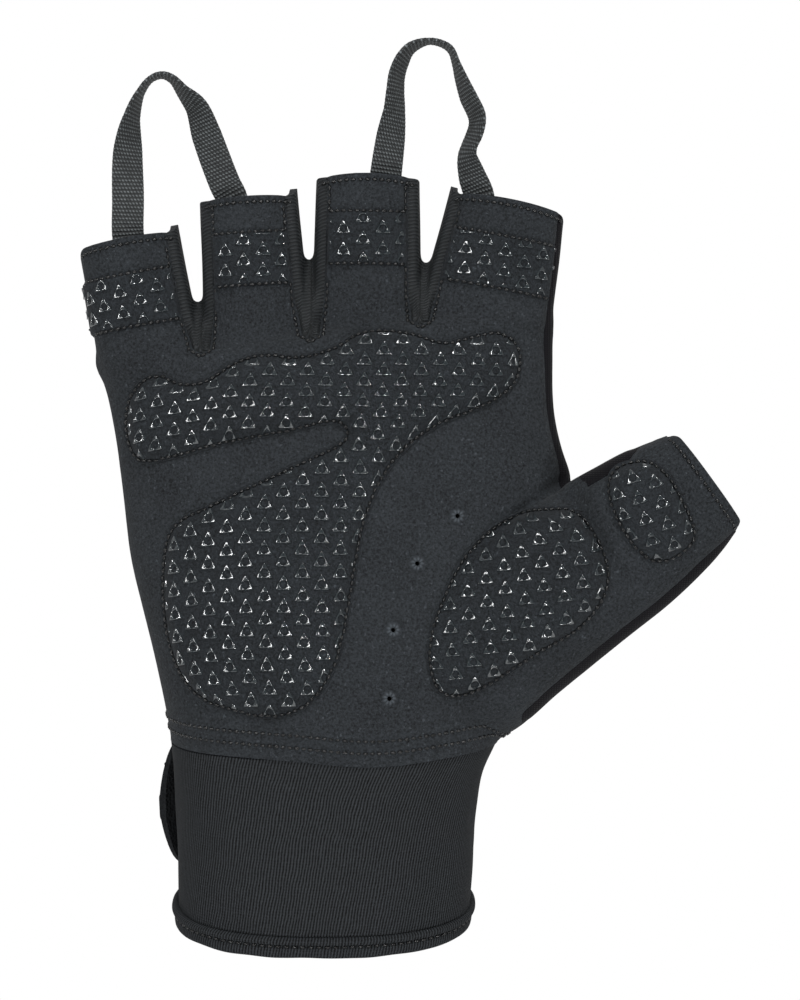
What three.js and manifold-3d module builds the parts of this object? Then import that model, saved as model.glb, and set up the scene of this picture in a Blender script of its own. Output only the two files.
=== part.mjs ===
// Right-hand weightlifting glove with open half fingers, in the form that a hand gives it.
// Millimetres. +Z runs from the wrist opening to the fingertips, the palm faces -Y and the
// thumb points to +X. The origin is the centre of the wrist opening.
import * as THREE from "three";
import { mergeVertices } from "three/addons/utils/BufferGeometryUtils.js";
import Module from "manifold-3d";

const wasm = await Module();
wasm.setup();

// Driving sizes of the hand
const handWidth = 108; // across the knuckles
const palmLength = 96; // wrist seam to the foot of the finger slots
const palmDepth = 34; // front to back, mid palm
const fingerLength = 36.7; // foot of the slots to the longest fingertip
const fingerWidth = 25;
const fingerDepth = 21;
const fingerRoot = 22; // how far a finger's tube runs down into the palm
const rootTaper = 0.7; // its size there, as a share of its size at the slot
const thumbLength = 72.8; // heel of the thumb to its open end
const thumbWidth = 43; // across the heel of the thumb
const thumbDepth = 40;
const thumbAngle = 36.1; // degrees above level
const crotchSlope = 0.13; // rise of the slot feet for each millimetre towards the thumb

// Driving sizes of the cuff and strap
const cuffLength = 43;
const wristWidth = 77.5;
const wristDepth = 47;
const hemDepth = 4.6; // height of the turned hem
const hemStep = 0.5; // hem band stands out from the cuff
const hemRidge = 0.7; // ridge stands out from the hem band
const hemTilt = 0.28; // fall of the hem towards the palm side, for each millimetre
const seamTilt = 0.15; // the same at the wrist seam
const strapWidth = 32;
const strapThickness = 2;
const strapBase = 8.6; // hem to the strap's lower edge
const strapTab = 10.4; // straight end that stands off the cuff
const strapRound = 9; // length of the strap's rounded end
const strapBlunt = 0.2; // the rounded end stops this far short of a point
const strapStart = 20; // degrees round the cuff, from the thumb side over the back
const strapLift = 150; // degrees, where the tab leaves the cuff

// Walls, pads and webbing
const wall = 1.6; // suede or knit with its lining
const cuffWall = 2.4;
const suedeStep = 0.3; // suede edge stands out over the cuff
const clearance = 0.3;
const padHeight = 2.3;
const padRim = 1.1;
const padBevel = 2; // width of the sloping rim of a pad
const bandHeight = 0.7;
const bandLength = 13.2; // printed band, along the finger
const bandSetback = 7.8; // fingertip to the band
const gussetShow = 2.6; // width of gusset seen beside each finger
const gussetFoot = 2.1; // half width of the gusset at the foot of its slot
const gussetTaper = 8; // height over which it narrows to its foot
const gussetPoint = 1.2; // its point below the foot
const ventRadius = 0.8;
const webbingWidth = 7.5;
const webbingThickness = 1.1;
const loopTuck = 8; // webbing sewn inside the fingertip
const loopReach = 34; // how far a loop stands off the line between its ends

const ovalPower = 2.35; // 2 is an ellipse, more is squarer
const ringPoints = 28;
const degree = Math.PI / 180;
const overrun = 5; // how far a hollow or a cut runs past an open end
const beyond = 4 * handWidth; // a length that clears the whole glove

// Palm sections from the wrist seam up. Edges are shares of handWidth, depths of palmDepth.
const palmSections = [
  { up: 0.0, left: -0.339, right: 0.386, front: 0.69, back: 0.67, slope: 0, tilt: 1 },
  { up: 0.11, left: -0.357, right: 0.396, front: 0.69, back: 0.64, slope: 0, tilt: 0.7 },
  { up: 0.27, left: -0.389, right: 0.43, front: 0.65, back: 0.6, slope: 0, tilt: 0.3 },
  { up: 0.46, left: -0.428, right: 0.48, front: 0.57, back: 0.55, slope: 0, tilt: 0 },
  { up: 0.65, left: -0.45, right: 0.542, front: 0.5, back: 0.5, slope: 0, tilt: 0 },
  { up: 0.71, left: -0.457, right: 0.525, front: 0.48, back: 0.49, slope: 0, tilt: 0 },
  { up: 0.8, left: -0.469, right: 0.506, front: 0.46, back: 0.47, slope: 0.2, tilt: 0 },
  { up: 0.92, left: -0.488, right: 0.503, front: 0.41, back: 0.43, slope: 0.6, tilt: 0 },
  { up: 1.0, left: -0.505, right: 0.502, front: 0.33, back: 0.36, slope: 1, tilt: 0 },
  { up: 1.03, left: -0.505, right: 0.49, front: 0.2, back: 0.2, slope: 1, tilt: 0 },
];

// Thumb sections from the heel to the open end. Widths are shares of thumbWidth,
// depths and the lean towards the palm side are shares of thumbDepth.
const thumbSections = [
  { along: -0.2, width: 0.78, depth: 0.6, lean: 0.0 },
  { along: 0.0, width: 1.0, depth: 0.85, lean: 0.05 },
  { along: 0.21, width: 0.95, depth: 0.84, lean: 0.1 },
  { along: 0.45, width: 0.89, depth: 0.74, lean: 0.19 },
  { along: 0.69, width: 0.85, depth: 0.66, lean: 0.24 },
  { along: 0.87, width: 0.76, depth: 0.6, lean: 0.26 },
  { along: 1.0, width: 0.628, depth: 0.56, lean: 0.27 },
];
const thumbHeel = { across: 0.29, up: 0.193 }; // shares of handWidth and palmLength

// Fingers. Places are shares of handWidth, reach of fingerLength, widths of fingerWidth.
const fingers = [
  { name: "little", foot: -0.384, tip: -0.43, reach: 0.6, footWidth: 0.99, tipWidth: 0.965 },
  { name: "ring", foot: -0.148, tip: -0.168, reach: 0.865, footWidth: 1.02, tipWidth: 0.936 },
  { name: "middle", foot: 0.091, tip: 0.095, reach: 1.0, footWidth: 1.03, tipWidth: 0.985 },
  { name: "index", foot: 0.356, tip: 0.401, reach: 0.84, footWidth: 1.27, tipWidth: 1.12 },
];

// Webs between neighbouring fingers: how far each crest stands above the foot of its slot,
// and its place between the fingers, as shares of fingerLength and handWidth.
const webs = [
  { rise: 0.31, across: -0.276 },
  { rise: 0.49, across: -0.04 },
  { rise: 0.37, across: 0.216 },
];
const webWidth = 9; // across the slot, into both fingers
const webCrest = 3; // front to back along the crest
const webFoot = 1; // its slopes start this far below the foot of the slot

// Cuff sections from the hem up. Edges are shares of wristWidth.
const cuffSections = [
  { up: 0.0, left: -0.457, right: 0.446 },
  { up: 0.3, left: -0.457, right: 0.458 },
  { up: 0.62, left: -0.463, right: 0.47 },
  { up: 0.83, left: -0.47, right: 0.493 },
  { up: 1.0, left: -0.477, right: 0.534 },
];

// Pads, as shares of each pad's own width and height, from its left foot.
const mainPad = {
  name: "main_grip_pad",
  left: -0.438, // left edge, share of handWidth
  foot: 0.06, // lower edge, share of palmLength
  width: 94,
  height: 91,
  outline: [
    { across: 0.0, up: 0.75 },
    { across: 0.01, up: 0.82 },
    { across: 0.045, up: 0.87 },
    { across: 0.095, up: 0.885 },
    { across: 0.15, up: 0.862 },
    { across: 0.21, up: 0.87 },
    { across: 0.28, up: 0.916 },
    { across: 0.355, up: 0.938 },
    { across: 0.44, up: 0.931 },
    { across: 0.525, up: 0.954 },
    { across: 0.59, up: 0.992 },
    { across: 0.66, up: 1.0 },
    { across: 0.73, up: 0.99 },
    { across: 0.8, up: 0.969 },
    { across: 0.87, up: 0.985 },
    { across: 0.935, up: 0.997 },
    { across: 0.985, up: 0.97 },
    { across: 1.0, up: 0.92 },
    { across: 0.985, up: 0.86 },
    { across: 0.94, up: 0.815 },
    { across: 0.875, up: 0.782 },
    { across: 0.79, up: 0.745 },
    { across: 0.715, up: 0.69 },
    { across: 0.66, up: 0.62 },
    { across: 0.62, up: 0.53 },
    { across: 0.595, up: 0.43 },
    { across: 0.575, up: 0.3 },
    { across: 0.55, up: 0.17 },
    { across: 0.51, up: 0.08 },
    { across: 0.45, up: 0.02 },
    { across: 0.37, up: 0.0 },
    { across: 0.28, up: 0.015 },
    { across: 0.2, up: 0.045 },
    { across: 0.145, up: 0.105 },
    { across: 0.11, up: 0.2 },
    { across: 0.097, up: 0.33 },
    { across: 0.107, up: 0.45 },
    { across: 0.145, up: 0.51 },
    { across: 0.21, up: 0.543 },
    { across: 0.31, up: 0.592 },
    { across: 0.44, up: 0.655 },
    { across: 0.54, up: 0.705 },
    { across: 0.555, up: 0.735 },
    { across: 0.52, up: 0.752 },
    { across: 0.42, up: 0.728 },
    { across: 0.26, up: 0.698 },
    { across: 0.13, up: 0.662 },
    { across: 0.05, up: 0.651 },
    { across: 0.015, up: 0.685 },
  ],
};
const thumbBasePad = {
  name: "thumb_base_pad",
  left: 0.222,
  foot: 0.108,
  width: 42.5,
  height: 44.5,
  outline: [
    { across: 0.67, up: 1.0 },
    { across: 0.81, up: 0.99 },
    { across: 0.93, up: 0.88 },
    { across: 1.0, up: 0.7 },
    { across: 0.98, up: 0.53 },
    { across: 0.84, up: 0.36 },
    { across: 0.6, up: 0.22 },
    { across: 0.36, up: 0.07 },
    { across: 0.18, up: 0.0 },
    { across: 0.05, up: 0.04 },
    { across: 0.0, up: 0.18 },
    { across: 0.01, up: 0.33 },
    { across: 0.07, up: 0.51 },
    { across: 0.18, up: 0.72 },
    { across: 0.34, up: 0.89 },
    { across: 0.52, up: 0.98 },
  ],
};
const thumbPad = {
  name: "thumb_pad",
  left: 0.608,
  foot: 0.436,
  width: 21,
  height: 24,
  outline: [
    { across: 0.31, up: 1.0 },
    { across: 0.51, up: 0.99 },
    { across: 0.7, up: 0.86 },
    { across: 0.84, up: 0.65 },
    { across: 0.98, up: 0.38 },
    { across: 0.98, up: 0.2 },
    { across: 0.76, up: 0.03 },
    { across: 0.51, up: 0.0 },
    { across: 0.31, up: 0.12 },
    { across: 0.14, up: 0.33 },
    { across: 0.02, up: 0.57 },
    { across: 0.0, up: 0.77 },
    { across: 0.1, up: 0.93 },
  ],
};

// Punched air holes, as shares of handWidth and palmLength.
const vents = [
  { across: 0.29, up: 0.55 },
  { across: 0.203, up: 0.435 },
  { across: 0.151, up: 0.275 },
  { across: 0.143, up: 0.11 },
];

// Routes of the pull loops: along the line between a loop's two ends from -1 to 1, and up
// from that line as a share of loopReach. Twist turns the webbing from flat on to edge on.
const littleLoopRoute = [
  { along: -0.97, up: 0.05, twist: 0 },
  { along: -0.74, up: 0.28, twist: 4 },
  { along: -0.42, up: 0.6, twist: 30 },
  { along: -0.13, up: 0.81, twist: 66 },
  { along: 0.18, up: 0.95, twist: 85 },
  { along: 0.43, up: 1.01, twist: 90 },
  { along: 0.64, up: 1.01, twist: 88 },
  { along: 0.79, up: 0.96, twist: 80 },
  { along: 0.9, up: 0.84, twist: 65 },
  { along: 1.02, up: 0.71, twist: 40 },
  { along: 1.01, up: 0.51, twist: 12 },
  { along: 1.0, up: 0.34, twist: 4 },
  { along: 1.0, up: 0.15, twist: 0 },
  { along: 1.02, up: 0.02, twist: 0 },
];
const indexLoopRoute = [
  { along: -0.96, up: 0.06, twist: 0 },
  { along: -1.01, up: 0.32, twist: 18 },
  { along: -1.04, up: 0.5, twist: 42 },
  { along: -1.1, up: 0.64, twist: 52 },
  { along: -1.13, up: 0.75, twist: 56 },
  { along: -1.08, up: 0.86, twist: 62 },
  { along: -0.96, up: 0.95, twist: 74 },
  { along: -0.64, up: 1.02, twist: 90 },
  { along: -0.35, up: 1.02, twist: 88 },
  { along: -0.17, up: 0.99, twist: 84 },
  { along: -0.01, up: 0.9, twist: 78 },
  { along: 0.12, up: 0.82, twist: 68 },
  { along: 0.34, up: 0.7, twist: 54 },
  { along: 0.59, up: 0.58, twist: 52 },
  { along: 0.63, up: 0.52, twist: 52 },
  { along: 0.61, up: 0.44, twist: 50 },
  { along: 0.56, up: 0.36, twist: 52 },
  { along: 0.56, up: 0.29, twist: 45 },
  { along: 0.72, up: 0.17, twist: 20 },
  { along: 0.96, up: 0.02, twist: 0 },
];
// Where each loop's legs leave the fingertips, as a share of the finger's half width.
const pullLoops = [
  {
    name: "pull_loop_left",
    route: littleLoopRoute,
    ends: [
      { finger: 0, offset: 0.02 },
      { finger: 1, offset: -0.36 },
    ],
  },
  {
    name: "pull_loop_right",
    route: indexLoopRoute,
    ends: [
      { finger: 2, offset: 0.32 },
      { finger: 3, offset: -0.51 },
    ],
  },
];

// Solids from three.js geometry, and back

function solidOf(geometry) {
  const plain = geometry.clone();
  plain.deleteAttribute("normal");
  plain.deleteAttribute("uv");
  const merged = mergeVertices(plain, 1e-4);
  return new wasm.Manifold(
    new wasm.Mesh({
      numProp: 3,
      vertProperties: new Float32Array(merged.attributes.position.array),
      triVerts: new Uint32Array(merged.index.array),
    }),
  );
}

function geometryOf(solid) {
  const mesh = solid.getMesh();
  const geometry = new THREE.BufferGeometry();
  geometry.setAttribute("position", new THREE.BufferAttribute(mesh.vertProperties, 3));
  geometry.setIndex(new THREE.BufferAttribute(mesh.triVerts, 1));
  const flat = geometry.toNonIndexed();
  flat.computeVertexNormals();
  return flat;
}

// Keeps the one main body where a cut leaves crumbs beside it.
function mainBody(solid) {
  return solid.decompose().sort((a, b) => b.volume() - a.volume())[0];
}

// A closed body through rings of equal count, each given anticlockwise from above.
function loft(rings) {
  const count = rings[0].length;
  const positions = [];
  const faces = [];
  rings.forEach((ring) => ring.forEach((point) => positions.push(point.x, point.y, point.z)));
  const closeEnd = (start, reversed) => {
    const ring = rings[start / count];
    const middle = new THREE.Vector3();
    ring.forEach((point) => middle.addScaledVector(point, 1 / count));
    const centre = positions.length / 3;
    positions.push(middle.x, middle.y, middle.z);
    for (let i = 0; i < count; i++) {
      const here = start + i;
      const next = start + ((i + 1) % count);
      faces.push(centre, reversed ? next : here, reversed ? here : next);
    }
  };
  for (let level = 0; level < rings.length - 1; level++) {
    for (let i = 0; i < count; i++) {
      const a = level * count + i;
      const b = level * count + ((i + 1) % count);
      faces.push(a, b, b + count, a, b + count, a + count);
    }
  }
  closeEnd(0, true);
  closeEnd((rings.length - 1) * count, false);
  const geometry = new THREE.BufferGeometry();
  geometry.setAttribute("position", new THREE.Float32BufferAttribute(positions, 3));
  geometry.setIndex(faces);
  return solidOf(geometry);
}

// A prism of an outline seen from the palm side (x, z), right through the glove.
function prism(outline) {
  const shape = new THREE.Shape(outline.map((point) => new THREE.Vector2(point.x, point.z)));
  const geometry = new THREE.ExtrudeGeometry(shape, { depth: beyond, bevelEnabled: false });
  geometry.rotateX(Math.PI / 2);
  geometry.translate(0, beyond / 2, 0);
  return solidOf(geometry);
}

// The oval of every section: x to the thumb, y to the back, grown or shrunk evenly.
function oval(angle, halfWidth, front, back) {
  const c = Math.cos(angle);
  const s = Math.sin(angle);
  const depth = s < 0 ? front : back;
  return {
    x: Math.sign(c) * halfWidth * Math.abs(c) ** (2 / ovalPower),
    y: Math.sign(s) * depth * Math.abs(s) ** (2 / ovalPower),
  };
}

function ringOf(place) {
  return Array.from({ length: ringPoints }, (_, i) => place((i * 2 * Math.PI) / ringPoints));
}

// Palm, from the wrist seam to the web

const slotFoot = (x) => cuffLength + palmLength + crotchSlope * x;

function palmRing(section, grow, shift) {
  const centre = ((section.left + section.right) / 2) * handWidth;
  const halfWidth = ((section.right - section.left) / 2) * handWidth + grow;
  return ringOf((angle) => {
    const point = oval(
      angle,
      halfWidth,
      section.front * palmDepth + grow,
      section.back * palmDepth + grow,
    );
    const x = centre + point.x;
    const rise = section.slope * crotchSlope * x + section.tilt * seamTilt * point.y;
    return new THREE.Vector3(x, point.y, cuffLength + section.up * palmLength + rise + shift);
  });
}

// With a negative growth this is the hollow: it runs out below and stops short of the webs.
function palmSolid(grow) {
  const hollow = grow < 0;
  const rings = palmSections.map((section) => palmRing(section, grow, 0));
  if (hollow) {
    rings.pop();
    rings.unshift(palmRing(palmSections[0], grow, -2 * clearance));
  }
  return loft(rings);
}

// The fabric folded up between two fingers, low at the palm and high half way through.
function webSolid(web, grow) {
  const centre = web.across * handWidth;
  const foot = slotFoot(centre);
  const last = palmSections[palmSections.length - 2];
  const level = (height, front, back) =>
    ringOf((angle) => {
      const point = oval(angle, webWidth / 2, front + grow, back + grow);
      return new THREE.Vector3(centre + point.x, point.y, height + grow);
    });
  return loft([
    level(foot - fingerRoot / 2, last.front * palmDepth - wall, last.back * palmDepth - wall),
    level(foot - webFoot, last.front * palmDepth, last.back * palmDepth),
    level(foot + web.rise * fingerLength, webCrest / 2, webCrest / 2),
  ]);
}

// Fingers

function fingerFrame(finger) {
  const footX = finger.foot * handWidth;
  const tipX = finger.tip * handWidth;
  const foot = new THREE.Vector3(footX, 0, slotFoot(footX));
  const tip = new THREE.Vector3(tipX, 0, cuffLength + palmLength + finger.reach * fingerLength);
  const length = tip.distanceTo(foot);
  const axis = tip.clone().sub(foot).normalize();
  const across = new THREE.Vector3(axis.z, 0, -axis.x);
  return { foot, tip, length, axis, across };
}

function fingerHalfWidth(finger, share) {
  const width = finger.footWidth + (finger.tipWidth - finger.footWidth) * Math.max(share, 0);
  return (width * fingerWidth) / 2;
}

function fingerRing(finger, along, grow, taper = 1) {
  const { foot, axis, across, length } = fingerFrame(finger);
  const halfWidth = fingerHalfWidth(finger, along / length) * taper + grow;
  const depth = (fingerDepth / 2) * taper + grow;
  return ringOf((angle) => {
    const point = oval(angle, halfWidth, depth, depth);
    const place = foot.clone().addScaledVector(axis, along).addScaledVector(across, point.x);
    place.y += point.y;
    return place;
  });
}

function fingerSolid(finger, grow) {
  const { length } = fingerFrame(finger);
  const end = grow < 0 ? length + overrun : length;
  return loft([
    fingerRing(finger, -fingerRoot, grow, rootTaper),
    fingerRing(finger, 0, grow),
    fingerRing(finger, end, grow),
  ]);
}

// Thumb

const thumbAxis = new THREE.Vector3(Math.cos(thumbAngle * degree), 0, Math.sin(thumbAngle * degree));
const thumbAcross = new THREE.Vector3(thumbAxis.z, 0, -thumbAxis.x);

function thumbRing(section, grow, extra) {
  const centre = new THREE.Vector3(
    thumbHeel.across * handWidth,
    -section.lean * thumbDepth,
    cuffLength + thumbHeel.up * palmLength,
  ).addScaledVector(thumbAxis, section.along * thumbLength + extra);
  const halfWidth = (section.width * thumbWidth) / 2 + grow;
  const depth = (section.depth * thumbDepth) / 2 + grow;
  return ringOf((angle) => {
    const point = oval(angle, halfWidth, depth, depth);
    const place = centre.clone().addScaledVector(thumbAcross, point.x);
    place.y += point.y;
    return place;
  });
}

function thumbSolid(grow) {
  const rings = thumbSections.map((section) => thumbRing(section, grow, 0));
  const last = thumbSections[thumbSections.length - 1];
  if (grow < 0) rings.push(thumbRing(last, grow, overrun));
  return loft(rings);
}

// Everything above the wrist seam, which falls a little towards the palm side.
function aboveWrist() {
  const block = new THREE.BoxGeometry(beyond, beyond, beyond);
  block.translate(0, 0, beyond / 2);
  block.rotateX(Math.atan(seamTilt));
  block.translate(0, 0, cuffLength);
  return solidOf(block);
}

function handSolid(grow) {
  const hollow = grow < 0;
  const parts = [thumbSolid(grow), ...fingers.map((finger) => fingerSolid(finger, grow))];
  if (!hollow) parts.push(...webs.map((web) => webSolid(web, grow)));
  const hand = parts.reduce((all, one) => all.add(one), palmSolid(grow));
  return hollow ? hand : hand.intersect(aboveWrist());
}

// Seams that divide the hand into panels

// The side seam as seen along the fingers: y of the seam at each x, from edge to edge.
const sideSeam = [
  { x: -0.8, y: 0.03 },
  { x: -0.3, y: 0.02 },
  { x: 0.2, y: -0.06 },
  { x: 0.5, y: -0.15 },
  { x: 0.72, y: -0.3 },
  { x: 1.1, y: -0.37 },
];

function sideSolid(edge, shift) {
  const far = edge === "front" ? -handWidth : handWidth;
  const shape = new THREE.Shape();
  sideSeam.forEach((point, i) => {
    const x = point.x * handWidth;
    const y = point.y * palmDepth + shift;
    if (i === 0) shape.moveTo(x, y);
    else shape.lineTo(x, y);
  });
  shape.lineTo(sideSeam[sideSeam.length - 1].x * handWidth, far);
  shape.lineTo(sideSeam[0].x * handWidth, far);
  const geometry = new THREE.ExtrudeGeometry(shape, { depth: beyond, bevelEnabled: false });
  return solidOf(geometry);
}

// The gusset in the slot between two fingers: a narrow V seen from the palm.
function slotOutline(leftFinger, rightFinger, widen) {
  const seamPoint = (finger, side, along) => {
    const { foot, axis, across, length } = fingerFrame(finger);
    const offset = fingerHalfWidth(finger, along / length) - gussetShow - widen;
    const point = foot.clone().addScaledVector(axis, along);
    return point.addScaledVector(across, side * offset);
  };
  const left = fingerFrame(leftFinger);
  const right = fingerFrame(rightFinger);
  const leftEdge = left.foot.x + fingerHalfWidth(leftFinger, 0);
  const rightEdge = right.foot.x - fingerHalfWidth(rightFinger, 0);
  const middle = (leftEdge + rightEdge) / 2;
  const low = slotFoot(middle);
  return [
    { x: middle, z: low - gussetPoint - widen },
    { x: middle + gussetFoot + widen, z: low },
    seamPoint(rightFinger, -1, gussetTaper),
    seamPoint(rightFinger, -1, right.length + overrun),
    seamPoint(leftFinger, 1, left.length + overrun),
    seamPoint(leftFinger, 1, gussetTaper),
    { x: middle - gussetFoot - widen, z: low },
  ];
}

const slots = [0, 1, 2].map((i) => ({
  name: `gusset_${i + 1}`,
  pair: [fingers[i], fingers[i + 1]],
}));
const slotCut = slots
  .map((slot) => prism(slotOutline(...slot.pair, clearance)))
  .reduce((all, one) => all.add(one));

const handShell = handSolid(0).subtract(handSolid(-wall));
const frontHalf = sideSolid("front", 0);
const backHalf = sideSolid("back", clearance);

// Panels, gussets and air holes

function ventSolid(vent) {
  const hole = new THREE.CylinderGeometry(ventRadius, ventRadius, palmDepth, 8);
  hole.translate(
    vent.across * handWidth,
    -palmDepth / 2 - wall,
    cuffLength + vent.up * palmLength,
  );
  return solidOf(hole);
}

function palmPanel() {
  const blank = handShell.intersect(frontHalf).subtract(slotCut);
  return mainBody(vents.reduce((panel, vent) => panel.subtract(ventSolid(vent)), blank));
}

function backPanel() {
  return mainBody(handShell.intersect(backHalf).subtract(slotCut));
}

function gusset(slot) {
  return mainBody(handShell.intersect(prism(slotOutline(...slot.pair, 0))));
}

// Pads and printed bands that follow the hand's surface

const skinClear = handSolid(clearance);

function overlay(outline, height) {
  const skin = handSolid(clearance + height).subtract(skinClear);
  return skin.intersect(prism(outline)).intersect(frontHalf);
}

function padOutline(pad) {
  const left = pad.left * handWidth;
  const foot = cuffLength + pad.foot * palmLength;
  const points = pad.outline.map(
    (row) => new THREE.Vector2(left + row.across * pad.width, foot + row.up * pad.height),
  );
  const steps = Math.round(pad.outline.length * 1.5);
  const samples = new THREE.SplineCurve([...points, points[0]]).getPoints(steps);
  samples.pop();
  return samples.map((point) => ({ x: point.x, z: point.y }));
}

// Moves each point of a clockwise outline inwards.
function inset(outline, distance) {
  return outline.map((point, i) => {
    const before = outline[(i - 1 + outline.length) % outline.length];
    const after = outline[(i + 1) % outline.length];
    const along = new THREE.Vector2(after.x - before.x, after.z - before.z).normalize();
    return { x: point.x + along.y * distance, z: point.z - along.x * distance };
  });
}

function padSolid(pad) {
  const outline = padOutline(pad);
  const rim = overlay(outline, padRim);
  return mainBody(rim.add(overlay(inset(outline, padBevel), padHeight)));
}

function bandSolid(finger) {
  const { foot, axis, across, length } = fingerFrame(finger);
  const corner = (side, along) =>
    foot
      .clone()
      .addScaledVector(axis, along)
      .addScaledVector(across, side * fingerWidth);
  const top = length - bandSetback;
  const outline = [
    corner(-1, top - bandLength),
    corner(1, top - bandLength),
    corner(1, top),
    corner(-1, top),
  ];
  const trim = slots
    .map((slot) => prism(slotOutline(...slot.pair, 2 * clearance)))
    .reduce((all, one) => all.add(one));
  return mainBody(overlay(outline, bandHeight).subtract(trim));
}

// Cuff, hem and strap

function cuffSection(up) {
  const after = Math.max(
    1,
    cuffSections.findIndex((section) => section.up >= up),
  );
  const [low, high] = [cuffSections[after - 1], cuffSections[after]];
  const share = (up - low.up) / (high.up - low.up);
  const mix = (key) => (low[key] + (high[key] - low[key]) * share) * wristWidth;
  return { left: mix("left"), right: mix("right") };
}

function cuffPoint(height, angle, grow) {
  const up = Math.min(Math.max(height / cuffLength, 0), 1);
  const { left, right } = cuffSection(up);
  const depth = wristDepth / 2 - suedeStep + grow;
  const point = oval(angle, (right - left) / 2 - suedeStep + grow, depth, depth);
  const tilt = hemTilt + (seamTilt - hemTilt) * up;
  return new THREE.Vector3((left + right) / 2 + point.x, point.y, height + tilt * point.y);
}

const cuffRing = (height, grow) => ringOf((angle) => cuffPoint(height, angle, grow));

function wristCuff() {
  const top = cuffLength - clearance;
  const foot = hemDepth + clearance;
  const levels = [foot, ...cuffSections.slice(1, -1).map((row) => row.up * cuffLength), top];
  const outer = loft(levels.map((height) => cuffRing(height, 0)));
  const hollow = [foot - overrun, ...levels.slice(1, -1), top + overrun];
  return outer.subtract(loft(hollow.map((height) => cuffRing(height, -cuffWall))));
}

function hemBand() {
  const profile = [
    { up: 0.0, out: 0 },
    { up: 0.1, out: hemStep },
    { up: 0.6, out: hemStep },
    { up: 0.72, out: hemStep + hemRidge },
    { up: 0.92, out: hemStep + hemRidge },
    { up: 1.0, out: hemStep },
  ];
  const outer = loft(profile.map((row) => cuffRing(row.up * hemDepth, row.out)));
  const ends = [-overrun, hemDepth + overrun];
  return outer.subtract(loft(ends.map((height) => cuffRing(height, -cuffWall))));
}

// The strap follows the back of the cuff and its free end runs on straight to the left.
function wristStrap() {
  const aroundSteps = 12;
  const tabSteps = 9;
  const middle = strapBase + strapWidth / 2;
  const place = (angle, lift, height, grow) => {
    const point = cuffPoint(height, angle * degree, grow);
    const before = cuffPoint(height, (angle - 1) * degree, grow);
    return point.addScaledVector(point.clone().sub(before).normalize(), lift);
  };
  const station = (angle, lift) => {
    const fromEnd = Math.max(strapTab - lift, strapBlunt);
    const curve = Math.max(1 - fromEnd / strapRound, 0);
    const half = (strapWidth / 2) * Math.sqrt(1 - curve ** 2);
    const near = clearance;
    const far = clearance + strapThickness;
    return [
      place(angle, lift, middle - half, far),
      place(angle, lift, middle - half, near),
      place(angle, lift, middle + half, near),
      place(angle, lift, middle + half, far),
    ];
  };
  const rings = [];
  for (let i = 0; i < aroundSteps; i++) {
    rings.push(station(strapStart + ((strapLift - strapStart) * i) / aroundSteps, 0));
  }
  for (let i = 0; i <= tabSteps; i++) {
    rings.push(station(strapLift, strapTab * (1 - (1 - i / tabSteps) ** 2)));
  }
  return loft(rings);
}

// Pull loops of flat webbing

// The webbing lies flat against the inside of the finger's front wall.
function loopEnd(end) {
  const finger = fingers[end.finger];
  const { tip, axis, across } = fingerFrame(finger);
  const halfWidth = fingerHalfWidth(finger, 1) - wall;
  const offset = end.offset * halfWidth;
  const front = (x) => {
    const share = 1 - (Math.abs(x) / halfWidth) ** ovalPower;
    return (fingerDepth / 2 - wall) * share ** (1 / ovalPower);
  };
  const [left, right] = [front(offset - webbingWidth / 2), front(offset + webbingWidth / 2)];
  const depth = (left + right) / 2 - 3 * clearance - webbingThickness / 2;
  const place = tip
    .clone()
    .addScaledVector(across, offset)
    .addScaledVector(axis, -1)
    .setY(-depth);
  return { place, turn: Math.atan2(right - left, webbingWidth), axis };
}

function pullLoop(loop) {
  const [start, finish] = loop.ends.map(loopEnd);
  const middle = start.place.clone().add(finish.place).multiplyScalar(0.5);
  const half = finish.place.clone().sub(start.place).multiplyScalar(0.5);
  const up = new THREE.Vector3(-half.z, 0, half.x).normalize();
  const tucked = (end) => ({
    place: end.place.clone().addScaledVector(end.axis, 1 - loopTuck),
    twist: 0,
  });
  const stations = [
    tucked(start),
    ...loop.route.map((row) => ({
      place: middle
        .clone()
        .addScaledVector(half, row.along)
        .addScaledVector(up, row.up * loopReach),
      twist: row.twist * degree,
    })),
    tucked(finish),
  ];
  const curve = new THREE.CatmullRomCurve3(
    stations.map((station) => station.place),
    false,
    "centripetal",
  );
  const rings = [];
  const steps = stations.length * 2 - 2;
  for (let i = 0; i <= steps; i++) {
    const at = i / 2;
    const low = stations[Math.floor(at)];
    const high = stations[Math.ceil(at)];
    const share = i / steps;
    const turn = share * finish.turn - (1 - share) * start.turn;
    const twist = (low.twist + high.twist) / 2;
    const place = curve.getPoint(share);
    const along = curve.getTangent(share);
    const flat = new THREE.Vector3(0, 1, 0).cross(along).normalize();
    const wide = flat
      .clone()
      .multiplyScalar(Math.cos(twist))
      .add(new THREE.Vector3(0, Math.sin(twist), 0))
      .applyAxisAngle(along, turn * Math.cos(twist));
    const thick = wide.clone().cross(along).normalize();
    const corner = (w, t) =>
      place
        .clone()
        .addScaledVector(wide, (w * webbingWidth) / 2)
        .addScaledVector(thick, (t * webbingThickness) / 2);
    rings.push([corner(-1, -1), corner(1, -1), corner(1, 1), corner(-1, 1)]);
  }
  const body = loft(rings);
  return body.volume() < 0 ? loft(rings.map((ring) => ring.reverse())) : body;
}

// Materials

function material(colour, roughness) {
  return new THREE.MeshStandardMaterial({ color: colour, roughness, metalness: 0 });
}
const suede = () => material("#34383b", 0.95);
const knit = () => material("#1b1a1e", 0.9);
const ribbing = () => material("#1e2123", 0.85);
const neoprene = () => material("#2c2e31", 0.88);
const hookTape = () => material("#16181a", 0.9);
const webbing = () => material("#3d4041", 0.75);
const print = () => material("#2b2f32", 0.5);

// Assembly

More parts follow.
